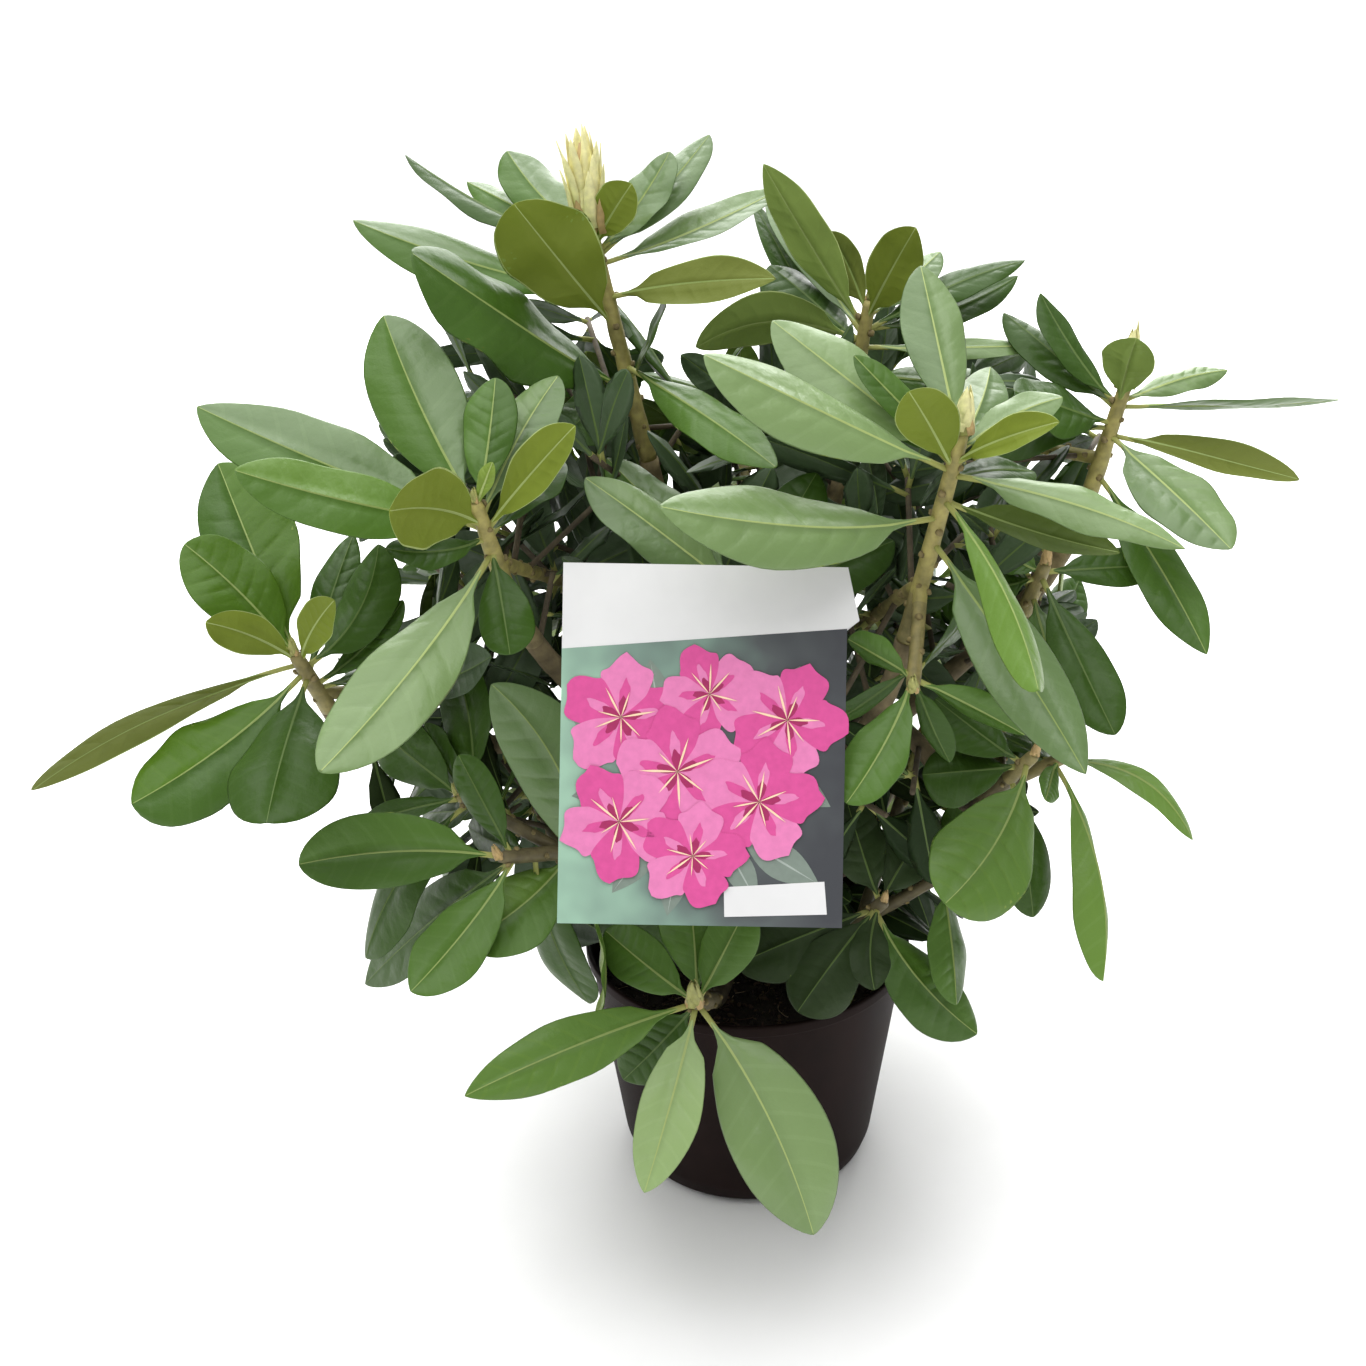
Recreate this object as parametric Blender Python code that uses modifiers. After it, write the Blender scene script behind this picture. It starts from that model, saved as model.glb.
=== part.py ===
"""A potted flowering shrub: a nursery pot of peat, a short trunk, boughs and leafy shoots.

Metres, +Z up, the front towards -Y. The origin is the middle of the pot's underside.
"""

import math
import random

import bmesh
import bpy
from mathutils import Matrix, Vector
from mathutils.bvhtree import BVHTree

# Clear space between pieces that touch
GAP = 0.0003

# Pot
POT_RIM_RADIUS = 0.100
POT_HEIGHT = 0.150
POT_LIP_HEIGHT = 0.007
POT_LIP_DEPTH = 0.0018
POT_FOOT_RADIUS = 0.0796
POT_FOOT_HEIGHT = 0.016
POT_FOOT_TURN_HEIGHT = 0.006
POT_BASE_RADIUS = 0.068
POT_WALL = 0.0016
POT_FLOOR = 0.003
POT_FLOOR_CORNER = 0.006
POT_FOOT_STEP = 0.0035
POT_EDGE_ROUNDING = 0.001
POT_SIDES = 24

# Peat
SOIL_EDGE_HEIGHT = 0.131
SOIL_MOUND_HEIGHT = 0.135
SOIL_FLAT_RADIUS = 0.024
SOIL_SHOULDER_RADIUS = 0.060

# Trunk
TRUNK_FOOT_RADIUS = 0.017
TRUNK_TOP_RADIUS = 0.0105
TRUNK_HEIGHT = 0.045
TRUNK_LEAN = (0.004, 0.006)
TRUNK_POINTS = 7
TRUNK_FLARE_HEIGHT = 0.010
TRUNK_CROWDING = 1.5
TRUNK_ROUNDING = 2

# Boughs and twigs
BOUGH_POINTS = 7
MAIN_BOUGH_RADIUS = 0.006
BOUGH_AIM = 1.3
LIMB_NEARNESS = 0.020
BOUGH_END_LENGTH = 0.006
TWIG_FOOT_RADIUS = 0.0048
TWIG_TOP_RADIUS = 0.0036
TWIG_SIDES = 5
BUD_RADIUS = 0.0055
BUD_SLENDERNESS = 0.24
BUD_SIDES = 6

# How far up the bud each of its rings is, and how wide, as shares of its length and radius
BUD_RINGS = ((-0.05, 0.45), (0.32, 1.0), (0.72, 0.6))

# Where the front of the plant is seen from, and the way that view looks
VIEW_POINT = Vector((0.0, -0.90, 0.725))
VIEW_PITCH = math.radians(24.2)
VIEW_YAW = math.radians(-2.3)
VIEW_ROLL = math.radians(-1.3)

# Leaf
LEAF_THICKNESS = 0.0018
FLATTENED_WIDTH = 1.15
FRONT_FACING = 0.7
LEAF_STALK_HALF_WIDTH = 0.0016
LEAF_STALK_SHARE = 0.10
LEAF_ARCH = 0.03
LEAF_EDGE_DROP = 0.16
LEAF_SHOULDER = 0.75
LEAF_BLUNTNESS = 0.55
FRONT_STATIONS = (0.30, 0.62, 0.91)
FILL_STATIONS = (0.38, 0.84)
TEST_THICKNESS = 0.006
TEST_START = 0.16
LEAN_STEPS = (0, 5, -5, 10, -10, 15, -15, 20, -20, 26, -26)
LEAST_HEIGHT = 0.012

# Leaves that the rule adds to a shoot
GOLDEN_TURN = math.radians(137.5)
SEED = 12
YOUNG_RISE = math.radians(52)
OLD_RISE = math.radians(-20)
YOUNG_SIZE = 0.62
FULL_SIZE_SHARE = 5 / 6
YOUNG_BELOW = 0.003
OLD_BELOW = 0.029
RULE_WIDTH = 0.34
RULE_LENGTHS = (0.86, 1.08)

# Label card
CARD_WIDTH = 0.139
CARD_HEIGHT = 0.176
CARD_THICKNESS = 0.0008
CARD_CENTRE = Vector((-0.021, -0.156, 0.357))
CARD_LEAN = math.radians(24.2)
CARD_YAW = math.radians(-2.3)
CARD_ROLL = math.radians(-2.3)
CARD_TAB_REACH = 0.006
CARD_TAB_TOP = 0.062
CARD_TAB_BOTTOM = 0.058

# The loop that carries the card
TIE_RADIUS = 0.0012
TIE_RING_INNER_RADIUS = 0.0044
TIE_SHARE = 0.86
TIE_SEAT_HEIGHT = 0.030
TIE_KNOB_RADIUS = 0.004
TIE_KNOB_DEPTH = 0.002
TIE_KNOB_TAPER = 0.8
TIE_KNOB_SIDES = 10
TIE_RING_STEPS = 12
TIE_SIDES = 6
TIE_SAG = 0.004
TIE_POINTS = 6

# Each front shoot: its foot, or the shoot that it branches from, the base of its end bud, the bud's
# length, and its leaves. A leaf is the clock direction of its tip from the bud in the view (degrees, from
# the right, anticlockwise), its seen length, its lean towards the viewer (degrees), its width, how far
# below the bud it grows, how far its middle bows to the left of its way out, and, where it isn't turned
# the usual way, how far its upper face is turned from the viewer (degrees). Lengths are millimetres.
FRONT_SHOOTS = {
    "right_front": ((0.083, -0.085, 0.382), (0.104, -0.110, 0.500), 23, (
        (163, 128, 15, 36, 22, 2),
        (193, 145, 20, 40, 48, 8),
        (287, 127, 35, 20, 38, 5),
        (333, 120, 10, 22, 24, 3),
        (143, 32, 45, 25, 20, -2, 165),
        (4, 48, 45, 16, 18, 3, 150),
        (149, 105, -10, 36, 16, 0),
        (104, 82, -25, 27, 6, 0),
        (144, 63, 0, 16, 14, 0),
        (20, 51, -10, 19, 12, 3),
        (67, 35, -40, 22, 6, -3),
        (322, 95, -10, 22, 38, -3, 140),
        (290, 173, 10, 34, 62, 0),
    )),
    "upper_left": ((-0.121, -0.100, 0.420), (-0.129, -0.125, 0.472), 8, (
        (160, 142, 0, 40, 10, 6),
        (172, 116, 20, 31, 14, 3),
        (240, 149, 25, 37, 34, 2),
        (185, 42, 45, 34, 16, -4, 165),
        (116, 100, -20, 40, 8, 1),
        (57, 73, -25, 26, 12, 3),
        (37, 61, 25, 22, 20, 0, 150),
        (67, 21, 20, 8, 2, 0),
        (81, 61, -35, 24, 4, 0),
        (207, 48, 10, 18, 24, 3),
        (283, 75, -10, 24, 32, 0),
    )),
    "top": ((-0.053, 0.010, 0.452), (-0.079, 0.000, 0.580), 50, (
        (161, 42, 20, 44, 54, 0, 170),
        (46, 32, 30, 20, 10, 0, 170),
        (344, 101, 25, 24, 38, 4, 150),
        (177, 123, 0, 28, 34, 5),
        (187, 91, 10, 50, 92, 1, 45),
        (308, 157, 25, 26, 76, 2),
        (12, 102, -25, 22, 20, -2),
        (39, 79, -20, 24, 16, -3),
        (44, 57, -30, 24, 14, -3),
        (137, 59, -30, 26, 5, 4),
        (158, 103, -15, 20, 12, 6, 70),
        (159, 69, -40, 18, 10, 0),
        (314, 56, -20, 34, 86, 0),
        (262, 109, -20, 34, 84, 0),
        (218, 88, -20, 20, 104, 0),
    )),
    "far_left": ((-0.222, -0.085, 0.345), (-0.231, -0.105, 0.385), 10, (
        (206, 152, -5, 24, 8, -6, 125),
        (222, 114, 5, 44, 14, 6),
        (260, 87, 35, 48, 18, -2),
        (112, 106, -20, 44, 4, -1),
        (135, 80, -5, 34, 4, -4),
        (160, 49, 40, 20, 6, -4, 160),
        (53, 35, 35, 19, 8, 3, 150),
        (53, 71, -15, 28, 12, -10),
        (64, 69, -35, 20, 18, 0),
        (27, 62, 0, 16, 26, -4),
    )),
    "top_right": ((0.053, 0.030, 0.433), (0.069, 0.030, 0.534), 10, (
        (128, 94, 0, 24, 16, 0, 150),
        (57, 48, 30, 26, 12, 0, 165),
        (194, 99, 5, 32, 24, -13, 140),
        (120, 43, -15, 18, 8, -2, 150),
        (159, 58, -10, 34, 24, 0),
        (16, 88, -15, 20, 18, 3),
        (133, 81, -30, 20, 20, 0),
        (11, 83, -30, 20, 16, -6),
        (36, 47, -25, 20, 10, 0),
        (347, 103, -10, 13, 26, 0),
        (138, 84, -30, 18, 44, 0),
        (330, 92, -30, 32, 40, 0),
    )),
    "far_right": ((0.190, 0.000, 0.435), (0.204, 0.000, 0.493), 34, (
        (77, 27, 45, 24, 10, 0, 170),
        (355, 115, 0, 22, 12, 0, 74),
        (303, 104, 30, 36, 28, 2),
        (330, 106, 5, 24, 28, 2, 130),
        (132, 67, -10, 20, 12, 2),
        (148, 76, -25, 26, 14, 0),
        (182, 59, 10, 40, 22, 0),
        (10, 56, -20, 15, 10, 2),
        (287, 150, 15, 28, 50, 2),
        (196, 88, -15, 34, 24, 0),
    )),
    "right_mid": ((0.153, -0.030, 0.376), (0.159, -0.050, 0.411), 12, (
        (292, 98, 20, 28, 10, 1),
        (359, 63, -10, 20, 8, 0),
        (276, 71, 0, 24, 26, 0),
        (165, 25, -20, 18, 8, 0),
        (200, 60, -20, 28, 12, 0),
    )),
    "right_small": ("right_front", (0.083, -0.130, 0.374), 12, (
        (239, 65, 15, 27, 8, 3, 20),
        (143, 41, -10, 18, 6, 0),
        (338, 60, -10, 18, 6, 0),
        (51, 57, -20, 26, 8, 0),
    )),
    "right_low": ((0.131, -0.070, 0.280), (0.151, -0.100, 0.323), 10, (
        (239, 91, 25, 46, 8, 6),
        (270, 86, -20, 24, 26, 0),
        (150, 60, -20, 30, 12, 0),
        (190, 60, -25, 30, 14, 0),
        (60, 40, -25, 24, 8, 0),
    )),
    "right_hang": ("right_low", (0.172, -0.080, 0.312), 8, (
        (280, 123, 10, 26, 8, 9),
        (327, 82, 5, 20, 8, 14),
        (245, 26, 45, 14, 6, 0),
        (160, 45, -30, 24, 8, 0),
    )),
    "lower_left": ((-0.085, -0.095, 0.264), (-0.129, -0.130, 0.279), 10, (
        (182, 106, 0, 35, 4, -4),
        (236, 84, 15, 34, 10, 4),
        (247, 47, 20, 42, 46, 4),
        (112, 58, -10, 22, 8, 0),
        (301, 90, -30, 34, 22, -5),
        (223, 97, -40, 34, 14, -2),
    )),
    "low_left": ("lower_left", (-0.086, -0.112, 0.242), 8, (
        (114, 128, 0, 38, 6, -12),
        (276, 69, 10, 36, 4, 7),
        (320, 50, -20, 28, 12, 0),
    )),
    "left_node": ("lower_left", (-0.153, -0.105, 0.303), 8, (
        (198, 60, 0, 18, 4, -3),
        (140, 62, -25, 28, 4, 0),
        (94, 79, -25, 34, 8, -5),
        (240, 100, -20, 36, 8, -8),
    )),
    "front_low": ((-0.019, -0.080, 0.155), (-0.028, -0.140, 0.195), 20, (
        (297, 141, 5, 48, 6, 7),
        (255, 106, 10, 29, 6, 0),
        (202, 133, 10, 28, 6, -2),
        (141, 62, -15, 26, 6, 0),
        (93, 61, -10, 32, 8, 0),
        (62, 60, -10, 26, 6, 0),
        (227, 57, -30, 30, 10, 0),
    )),
    "pot_right": ((0.060, -0.060, 0.190), (0.076, -0.090, 0.228), 8, (
        (264, 49, 30, 20, 8, -4),
        (232, 78, 0, 34, 10, 0),
        (203, 90, -5, 36, 14, 0),
        (305, 90, -15, 32, 14, -6),
        (60, 55, -20, 30, 8, 0),
        (110, 60, -20, 30, 6, 0),
    )),
    "low_right": ("pot_right", (0.115, -0.070, 0.236), 8, (
        (273, 76, 10, 28, 6, 0),
        (345, 40, -10, 24, 8, 0),
        (70, 40, -20, 24, 8, 0),
    )),
    "centre": ((-0.005, -0.060, 0.337), (0.002, -0.085, 0.410), 8, (
        (145, 102, 0, 30, 6, 0),
        (136, 101, -15, 28, 6, 0),
        (60, 70, -20, 28, 8, 0),
        (20, 80, -20, 30, 10, 0),
        (210, 80, -15, 30, 14, 0),
        (300, 70, -30, 34, 12, 0),
    )),
}

# Shoots inside the crown, whose leaves follow the rule: what each branches from, the base of its end
# bud, and leaf length
INNER_SHOOTS = {
    "inner_top": ("top_right", (0.005, 0.080, 0.460), 0.085),
    "inner_left": ("top", (-0.125, 0.030, 0.450), 0.085),
    "inner_right": ("far_right", (0.150, 0.045, 0.450), 0.085),
    "inner_side": ("right_low", (0.150, 0.020, 0.325), 0.080),
    "inner_back": ("top_right", (0.088, 0.048, 0.445), 0.080),
    "inner_middle": ("right_front", (0.066, 0.000, 0.355), 0.080),
    "inner_middle_left": ("upper_left", (-0.098, 0.006, 0.380), 0.085),
    "inner_low_side": ("lower_left", (-0.129, 0.000, 0.250), 0.085),
    "inner_low_right": ("pot_right", (0.096, -0.012, 0.268), 0.080),
    "inner_low_left": ("far_left", (-0.170, -0.020, 0.325), 0.085),
}

# How far the crown reaches in the view of the front, in thousandths of the distance, every 15 degrees
# from the right, anticlockwise: a leaf by rule that would be seen beyond it is skipped
SEEN_REACH = (
    240, 260, 275, 295, 280, 275, 210, 275, 280, 245, 290, 155,
    235, 175, 230, 235, 190, 135, 135, 175, 205, 230, 230, 235,
)

# Each row of back shoots: how many, reach from the trunk, height, first and last azimuth, leaf length
BACK_ROWS = {
    "back_upper": (3, 0.125, 0.420, 40, 140, 0.120),
    "back_middle": (5, 0.190, 0.320, 10, 170, 0.120),
    "back_low": (3, 0.150, 0.225, 40, 140, 0.110),
}
BACK_MIDDLE = Vector((0.0, 0.020, 0.0))
BACK_TWIG_LENGTH = 0.060
BACK_TWIG_RISE = math.radians(48)
RULE_LEAVES = 10
RULE_BUD_LENGTH = 0.012
SIDE_SHARE = 0.30
EXTRA_LEAVES = 9
EXTRA_LENGTH = 0.080
EXTRA_AWAY = 0.25

# Each bough: what it grows from, how far along that, and its radius at each end
BOUGHS = {
    "upper_left": ("trunk", 0.95, 0.0074, 0.0052),
    "right_front": ("trunk", 0.95, 0.0078, 0.0054),
    "top": ("trunk", 0.95, 0.0076, 0.0054),
    "back_middle_3": ("trunk", 0.80, 0.0062, 0.0048),
    "front_low": ("trunk", 0.55, 0.0058, 0.0048),
    "far_left": ("upper_left", 0.45, 0.0062, 0.0048),
    "lower_left": ("upper_left", 0.22, 0.0060, 0.0048),
    "centre": ("right_front", 0.22, 0.0048, 0.0036),
    "top_right": ("top", 0.35, 0.0064, 0.0048),
    "far_right": ("right_front", 0.42, 0.0062, 0.0048),
    "right_mid": ("far_right", 0.55, 0.0056, 0.0048),
    "right_low": ("far_right", 0.25, 0.0056, 0.0048),
    "pot_right": ("right_front", 0.10, 0.0056, 0.0048),
    "back_upper_1": ("top_right", 0.30, 0.0058, 0.0048),
    "back_upper_2": ("back_middle_3", 0.45, 0.0058, 0.0048),
    "back_upper_3": ("top", 0.55, 0.0058, 0.0048),
    "back_middle_1": ("far_right", 0.38, 0.0058, 0.0048),
    "back_middle_2": ("back_middle_3", 0.25, 0.0060, 0.0048),
    "back_middle_4": ("back_middle_3", 0.35, 0.0060, 0.0048),
    "back_middle_5": ("upper_left", 0.33, 0.0060, 0.0048),
    "back_low_1": ("back_middle_2", 0.30, 0.0056, 0.0048),
    "back_low_2": ("back_middle_3", 0.12, 0.0056, 0.0048),
    "back_low_3": ("back_middle_4", 0.30, 0.0056, 0.0048),
}


def clear_scene():
    for obj in list(bpy.data.objects):
        bpy.data.objects.remove(obj, do_unlink=True)


def material(name, colour, roughness, metallic=0.0):
    made = bpy.data.materials.new(name)
    made.use_nodes = True
    shader = made.node_tree.nodes["Principled BSDF"]
    shader.inputs["Base Color"].default_value = (*colour, 1.0)
    shader.inputs["Roughness"].default_value = roughness
    shader.inputs["Metallic"].default_value = metallic
    return made


def new_object(name, mesh, collection, look=None):
    obj = bpy.data.objects.new(name, mesh)
    collection.objects.link(obj)
    if look is not None:
        mesh.materials.append(look)
    return obj


def mesh_from(name, points, faces):
    mesh = bpy.data.meshes.new(name)
    mesh.from_pydata([tuple(p) for p in points], [], faces)
    mesh.update()
    return mesh


def evaluated_mesh(obj):
    """The object's mesh with its modifiers applied, in world space, and the object removed."""
    graph = bpy.context.evaluated_depsgraph_get()
    mesh = bpy.data.meshes.new_from_object(obj.evaluated_get(graph))
    mesh.transform(obj.matrix_world)
    bpy.data.objects.remove(obj, do_unlink=True)
    return mesh


def turned(name, profile, sides, collection, look):
    """A profile of (radius, height) turned round the Z axis, from its outer side's top to its bottom."""
    mesh = bpy.data.meshes.new(name)
    points = [(r, 0.0, z) for r, z in profile]
    edges = [(i, i + 1) for i in range(len(points) - 1)]
    mesh.from_pydata(points, edges, [])
    obj = new_object(name, mesh, collection, look)
    screw = obj.modifiers.new("turn", "SCREW")
    screw.axis = "Z"
    screw.steps = sides
    screw.render_steps = sides
    screw.use_merge_vertices = True
    screw.merge_threshold = 0.00005
    return obj


# Pot and peat

def pot_inner_radius(height):
    """The radius of the pot's inner side at a height."""
    share = (height - POT_FOOT_HEIGHT) / (POT_HEIGHT - POT_FOOT_HEIGHT)
    outer = POT_FOOT_RADIUS + (POT_RIM_RADIUS - POT_LIP_DEPTH - POT_FOOT_RADIUS) * share
    return outer - POT_WALL


def build_pot(collection):
    look = material("pot_plastic", (0.030, 0.020, 0.019), 0.55)
    wall_top = POT_RIM_RADIUS - POT_LIP_DEPTH
    lip_foot = POT_HEIGHT - POT_LIP_HEIGHT
    share = (lip_foot - POT_FOOT_HEIGHT) / (POT_HEIGHT - POT_FOOT_HEIGHT)
    wall_at_lip = POT_FOOT_RADIUS + (wall_top - POT_FOOT_RADIUS) * share
    profile = (
        (0.0, POT_FLOOR),
        (pot_inner_radius(POT_FLOOR) - POT_FLOOR_CORNER, POT_FLOOR),
        (pot_inner_radius(POT_FOOT_HEIGHT), POT_FOOT_HEIGHT),
        (pot_inner_radius(POT_HEIGHT), POT_HEIGHT),
        (POT_RIM_RADIUS - POT_LIP_DEPTH / 2, POT_HEIGHT),
        (POT_RIM_RADIUS, POT_HEIGHT - POT_EDGE_ROUNDING),
        (POT_RIM_RADIUS, lip_foot + POT_EDGE_ROUNDING),
        (wall_at_lip, lip_foot),
        (POT_FOOT_RADIUS, POT_FOOT_HEIGHT),
        (POT_FOOT_RADIUS - POT_FOOT_STEP, POT_FOOT_TURN_HEIGHT),
        (POT_BASE_RADIUS + 2 * POT_EDGE_ROUNDING, POT_EDGE_ROUNDING),
        (POT_BASE_RADIUS, 0.0),
        (0.0, 0.0),
    )
    return turned("pot", profile, POT_SIDES, collection, look)


def build_soil(collection):
    look = material("peat", (0.020, 0.014, 0.010), 0.95)
    floor = POT_FLOOR + GAP
    profile = (
        (0.0, SOIL_MOUND_HEIGHT),
        (SOIL_FLAT_RADIUS, SOIL_MOUND_HEIGHT),
        (SOIL_SHOULDER_RADIUS, (SOIL_MOUND_HEIGHT + SOIL_EDGE_HEIGHT) / 2),
        (pot_inner_radius(SOIL_EDGE_HEIGHT) - GAP, SOIL_EDGE_HEIGHT),
        (pot_inner_radius(POT_FOOT_HEIGHT) - GAP, POT_FOOT_HEIGHT),
        (pot_inner_radius(POT_FLOOR) - POT_FLOOR_CORNER - 2 * GAP, floor),
        (0.0, floor),
    )
    return turned("peat", profile, POT_SIDES, collection, look)


# Trunk and boughs

def tube_mesh(name, path, radii, rounding):
    """A round tapering limb along a path, with flat ends."""
    curve = bpy.data.curves.new(name, "CURVE")
    curve.dimensions = "3D"
    curve.bevel_depth = 0.001
    curve.bevel_resolution = rounding
    curve.use_fill_caps = True
    spline = curve.splines.new("POLY")
    spline.points.add(len(path) - 1)
    for point, place, radius in zip(spline.points, path, radii):
        point.co = (*place, 1.0)
        point.radius = radius / curve.bevel_depth
    obj = bpy.data.objects.new(name, curve)
    bpy.context.scene.collection.objects.link(obj)
    bpy.context.view_layer.update()
    mesh = evaluated_mesh(obj)
    bpy.data.curves.remove(curve)
    shape = bmesh.new()
    shape.from_mesh(mesh)
    bmesh.ops.remove_doubles(shape, verts=shape.verts, dist=0.00002)
    bmesh.ops.recalc_face_normals(shape, faces=shape.faces)
    shape.to_mesh(mesh)
    shape.free()
    return mesh


def along(path, share):
    """The point at a share of a path's length, and the path's direction there."""
    lengths = [(b - a).length for a, b in zip(path, path[1:])]
    left = share * sum(lengths)
    for a, b, length in zip(path, path[1:], lengths):
        if left <= length:
            return a.lerp(b, left / length), (b - a).normalized()
        left -= length
    return path[-1].copy(), (path[-1] - path[-2]).normalized()


def trunk_path():
    foot = Vector((0.0, 0.0, SOIL_MOUND_HEIGHT + GAP))
    path, radii = [], []
    for i in range(TRUNK_POINTS):
        share = (i / (TRUNK_POINTS - 1)) ** TRUNK_CROWDING
        lean = Vector((*TRUNK_LEAN, 0.0)) * share * share
        path.append(foot + lean + Vector((0.0, 0.0, TRUNK_HEIGHT * share)))
        flare = math.exp(-TRUNK_HEIGHT * share / TRUNK_FLARE_HEIGHT)
        radii.append(TRUNK_TOP_RADIUS + (TRUNK_FOOT_RADIUS - TRUNK_TOP_RADIUS) * flare)
    return path, radii


def bough_path(start, first_way, end, last_way):
    """A smooth limb from its start to its end that leaves and arrives along the given ways."""
    reach = (end - start).length / 3
    a, b, d = start, start + first_way * reach, end - last_way * BOUGH_END_LENGTH
    c = d - last_way * reach
    path = []
    for i in range(BOUGH_POINTS):
        t = i / (BOUGH_POINTS - 1)
        s = 1 - t
        path.append(a * s**3 + b * 3 * s * s * t + c * 3 * s * t * t + d * t**3)
    return [*path, end]


def keep_largest_piece(mesh):
    """Leaves only the largest connected shell, so that scraps and sealed hollows are gone."""
    shape = bmesh.new()
    shape.from_mesh(mesh)
    left = set(shape.verts)
    pieces = []
    while left:
        queue = [left.pop()]
        piece = set(queue)
        while queue:
            vertex = queue.pop()
            for edge in vertex.link_edges:
                other = edge.other_vert(vertex)
                if other in left:
                    left.discard(other)
                    piece.add(other)
                    queue.append(other)
        pieces.append(piece)
    pieces.sort(key=spread, reverse=True)
    for piece in pieces[1:]:
        bmesh.ops.delete(shape, geom=list(piece), context="VERTS")
    shape.to_mesh(mesh)
    shape.free()


def spread(vertices):
    """How large a piece is, as the diagonal of its box."""
    places = [v.co for v in vertices]
    low = Vector([min(p[i] for p in places) for i in range(3)])
    high = Vector([max(p[i] for p in places) for i in range(3)])
    return (high - low).length


def joined(mesh, others, operation):
    """The mesh with the other meshes cut away or joined on."""
    group = bpy.data.collections.new("operands")
    bpy.context.scene.collection.children.link(group)
    for other in others:
        new_object("operand", other, group)
    base = bpy.data.objects.new("base", mesh)
    bpy.context.scene.collection.objects.link(base)
    change = base.modifiers.new("change", "BOOLEAN")
    change.operation = operation
    change.solver = "EXACT"
    change.operand_type = "COLLECTION"
    change.collection = group
    bpy.context.view_layer.update()
    result = evaluated_mesh(base)
    for obj in list(group.objects):
        bpy.data.objects.remove(obj, do_unlink=True)
    bpy.data.collections.remove(group)
    keep_largest_piece(result)
    return result


def triangles(mesh):
    mesh.calc_loop_triangles()
    return [v.co.copy() for v in mesh.vertices], [tuple(t.vertices) for t in mesh.loop_triangles]


def build_limbs(collection, feet):
    """The trunk and every bough, each cut clear of those that were there before it."""
    bark = material("bark", (0.165, 0.118, 0.062), 0.85)
    path, radii = trunk_path()
    paths = {"trunk": path}
    sizes = {"trunk": radii}
    rounds = {"trunk": TRUNK_ROUNDING}
    meshes = {"trunk": tube_mesh("trunk", path, radii, rounds["trunk"])}
    for name, (parent, share, start_radius, end_radius) in BOUGHS.items():
        start, way = along(paths[parent], share)
        end, last_way = feet[name]
        first_way = (way + (end - start).normalized() * BOUGH_AIM).normalized()
        path = bough_path(start, first_way, end, last_way)
        steps = len(path) - 1
        radii = [start_radius + (end_radius - start_radius) * i / steps for i in range(steps + 1)]
        rounds[name] = 1 if start_radius > MAIN_BOUGH_RADIUS else 0
        cutters = [
            tube_mesh(other, paths[other], [r + GAP for r in sizes[other]], rounds[other])
            for other in paths
            if nearest(path, paths[other]) < LIMB_NEARNESS
        ]
        meshes[name] = joined(tube_mesh(name, path, radii, rounds[name]), cutters, "DIFFERENCE")
        paths[name] = path
        sizes[name] = radii
    for name, mesh in meshes.items():
        label = name if name == "trunk" else "bough_" + name
        mesh.name = label
        new_object(label, mesh, collection, bark)
    return paths, meshes


def nearest(path, other):
    return min((a - b).length for a in path for b in other)


# Leaves

def view_axes():
    """Right, up and forward of the view of the plant's front."""
    forward = Vector((
        math.sin(VIEW_YAW) * math.cos(VIEW_PITCH),
        math.cos(VIEW_YAW) * math.cos(VIEW_PITCH),
        -math.sin(VIEW_PITCH),
    ))
    right = Vector((math.cos(VIEW_YAW), -math.sin(VIEW_YAW), 0.0))
    turn = Matrix.Rotation(VIEW_ROLL, 3, -forward)
    right = turn @ right
    return right, right.cross(forward), forward


def half_width_share(t):
    """The leaf's half width along its length, as a share of its greatest."""
    s = (t - LEAF_STALK_SHARE) / (1 - LEAF_STALK_SHARE)
    if s <= 0 or s >= 1:
        return 0.0
    widest = LEAF_SHOULDER / (LEAF_SHOULDER + LEAF_BLUNTNESS)
    return (s / widest) ** LEAF_SHOULDER * ((1 - s) / (1 - widest)) ** LEAF_BLUNTNESS


def leaf_solid(leaf, stations, thickness, start=0.0):
    """Points and triangles of a leaf: a closed solid with a bowed midrib and dropped edges."""
    root, tip, normal, width, bow = leaf
    chord = tip - root
    points, faces = [], [(0, 1, 2)]
    for t in (start, *stations):
        middle = root + chord * t + bow * 4 * t * (1 - t)
        way = (chord + bow * 4 * (1 - 2 * t)).normalized()
        side = way.cross(normal).normalized()
        up = side.cross(way)
        half = max(half_width_share(t) * width / 2, LEAF_STALK_HALF_WIDTH)
        drop = up * max(LEAF_EDGE_DROP * half, thickness / 2)
        points += [middle + side * half - drop, middle + up * thickness / 2, middle - side * half - drop]
    points.append(tip)
    for ring in range(len(stations)):
        for i in range(3):
            a, b = 3 * ring + i, 3 * ring + (i + 1) % 3
            faces += [(a, a + 3, b), (b, a + 3, b + 3)]
    last = 3 * len(stations)
    for i in range(3):
        faces.append((last + i, len(points) - 1, last + (i + 1) % 3))
    return points, faces


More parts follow.
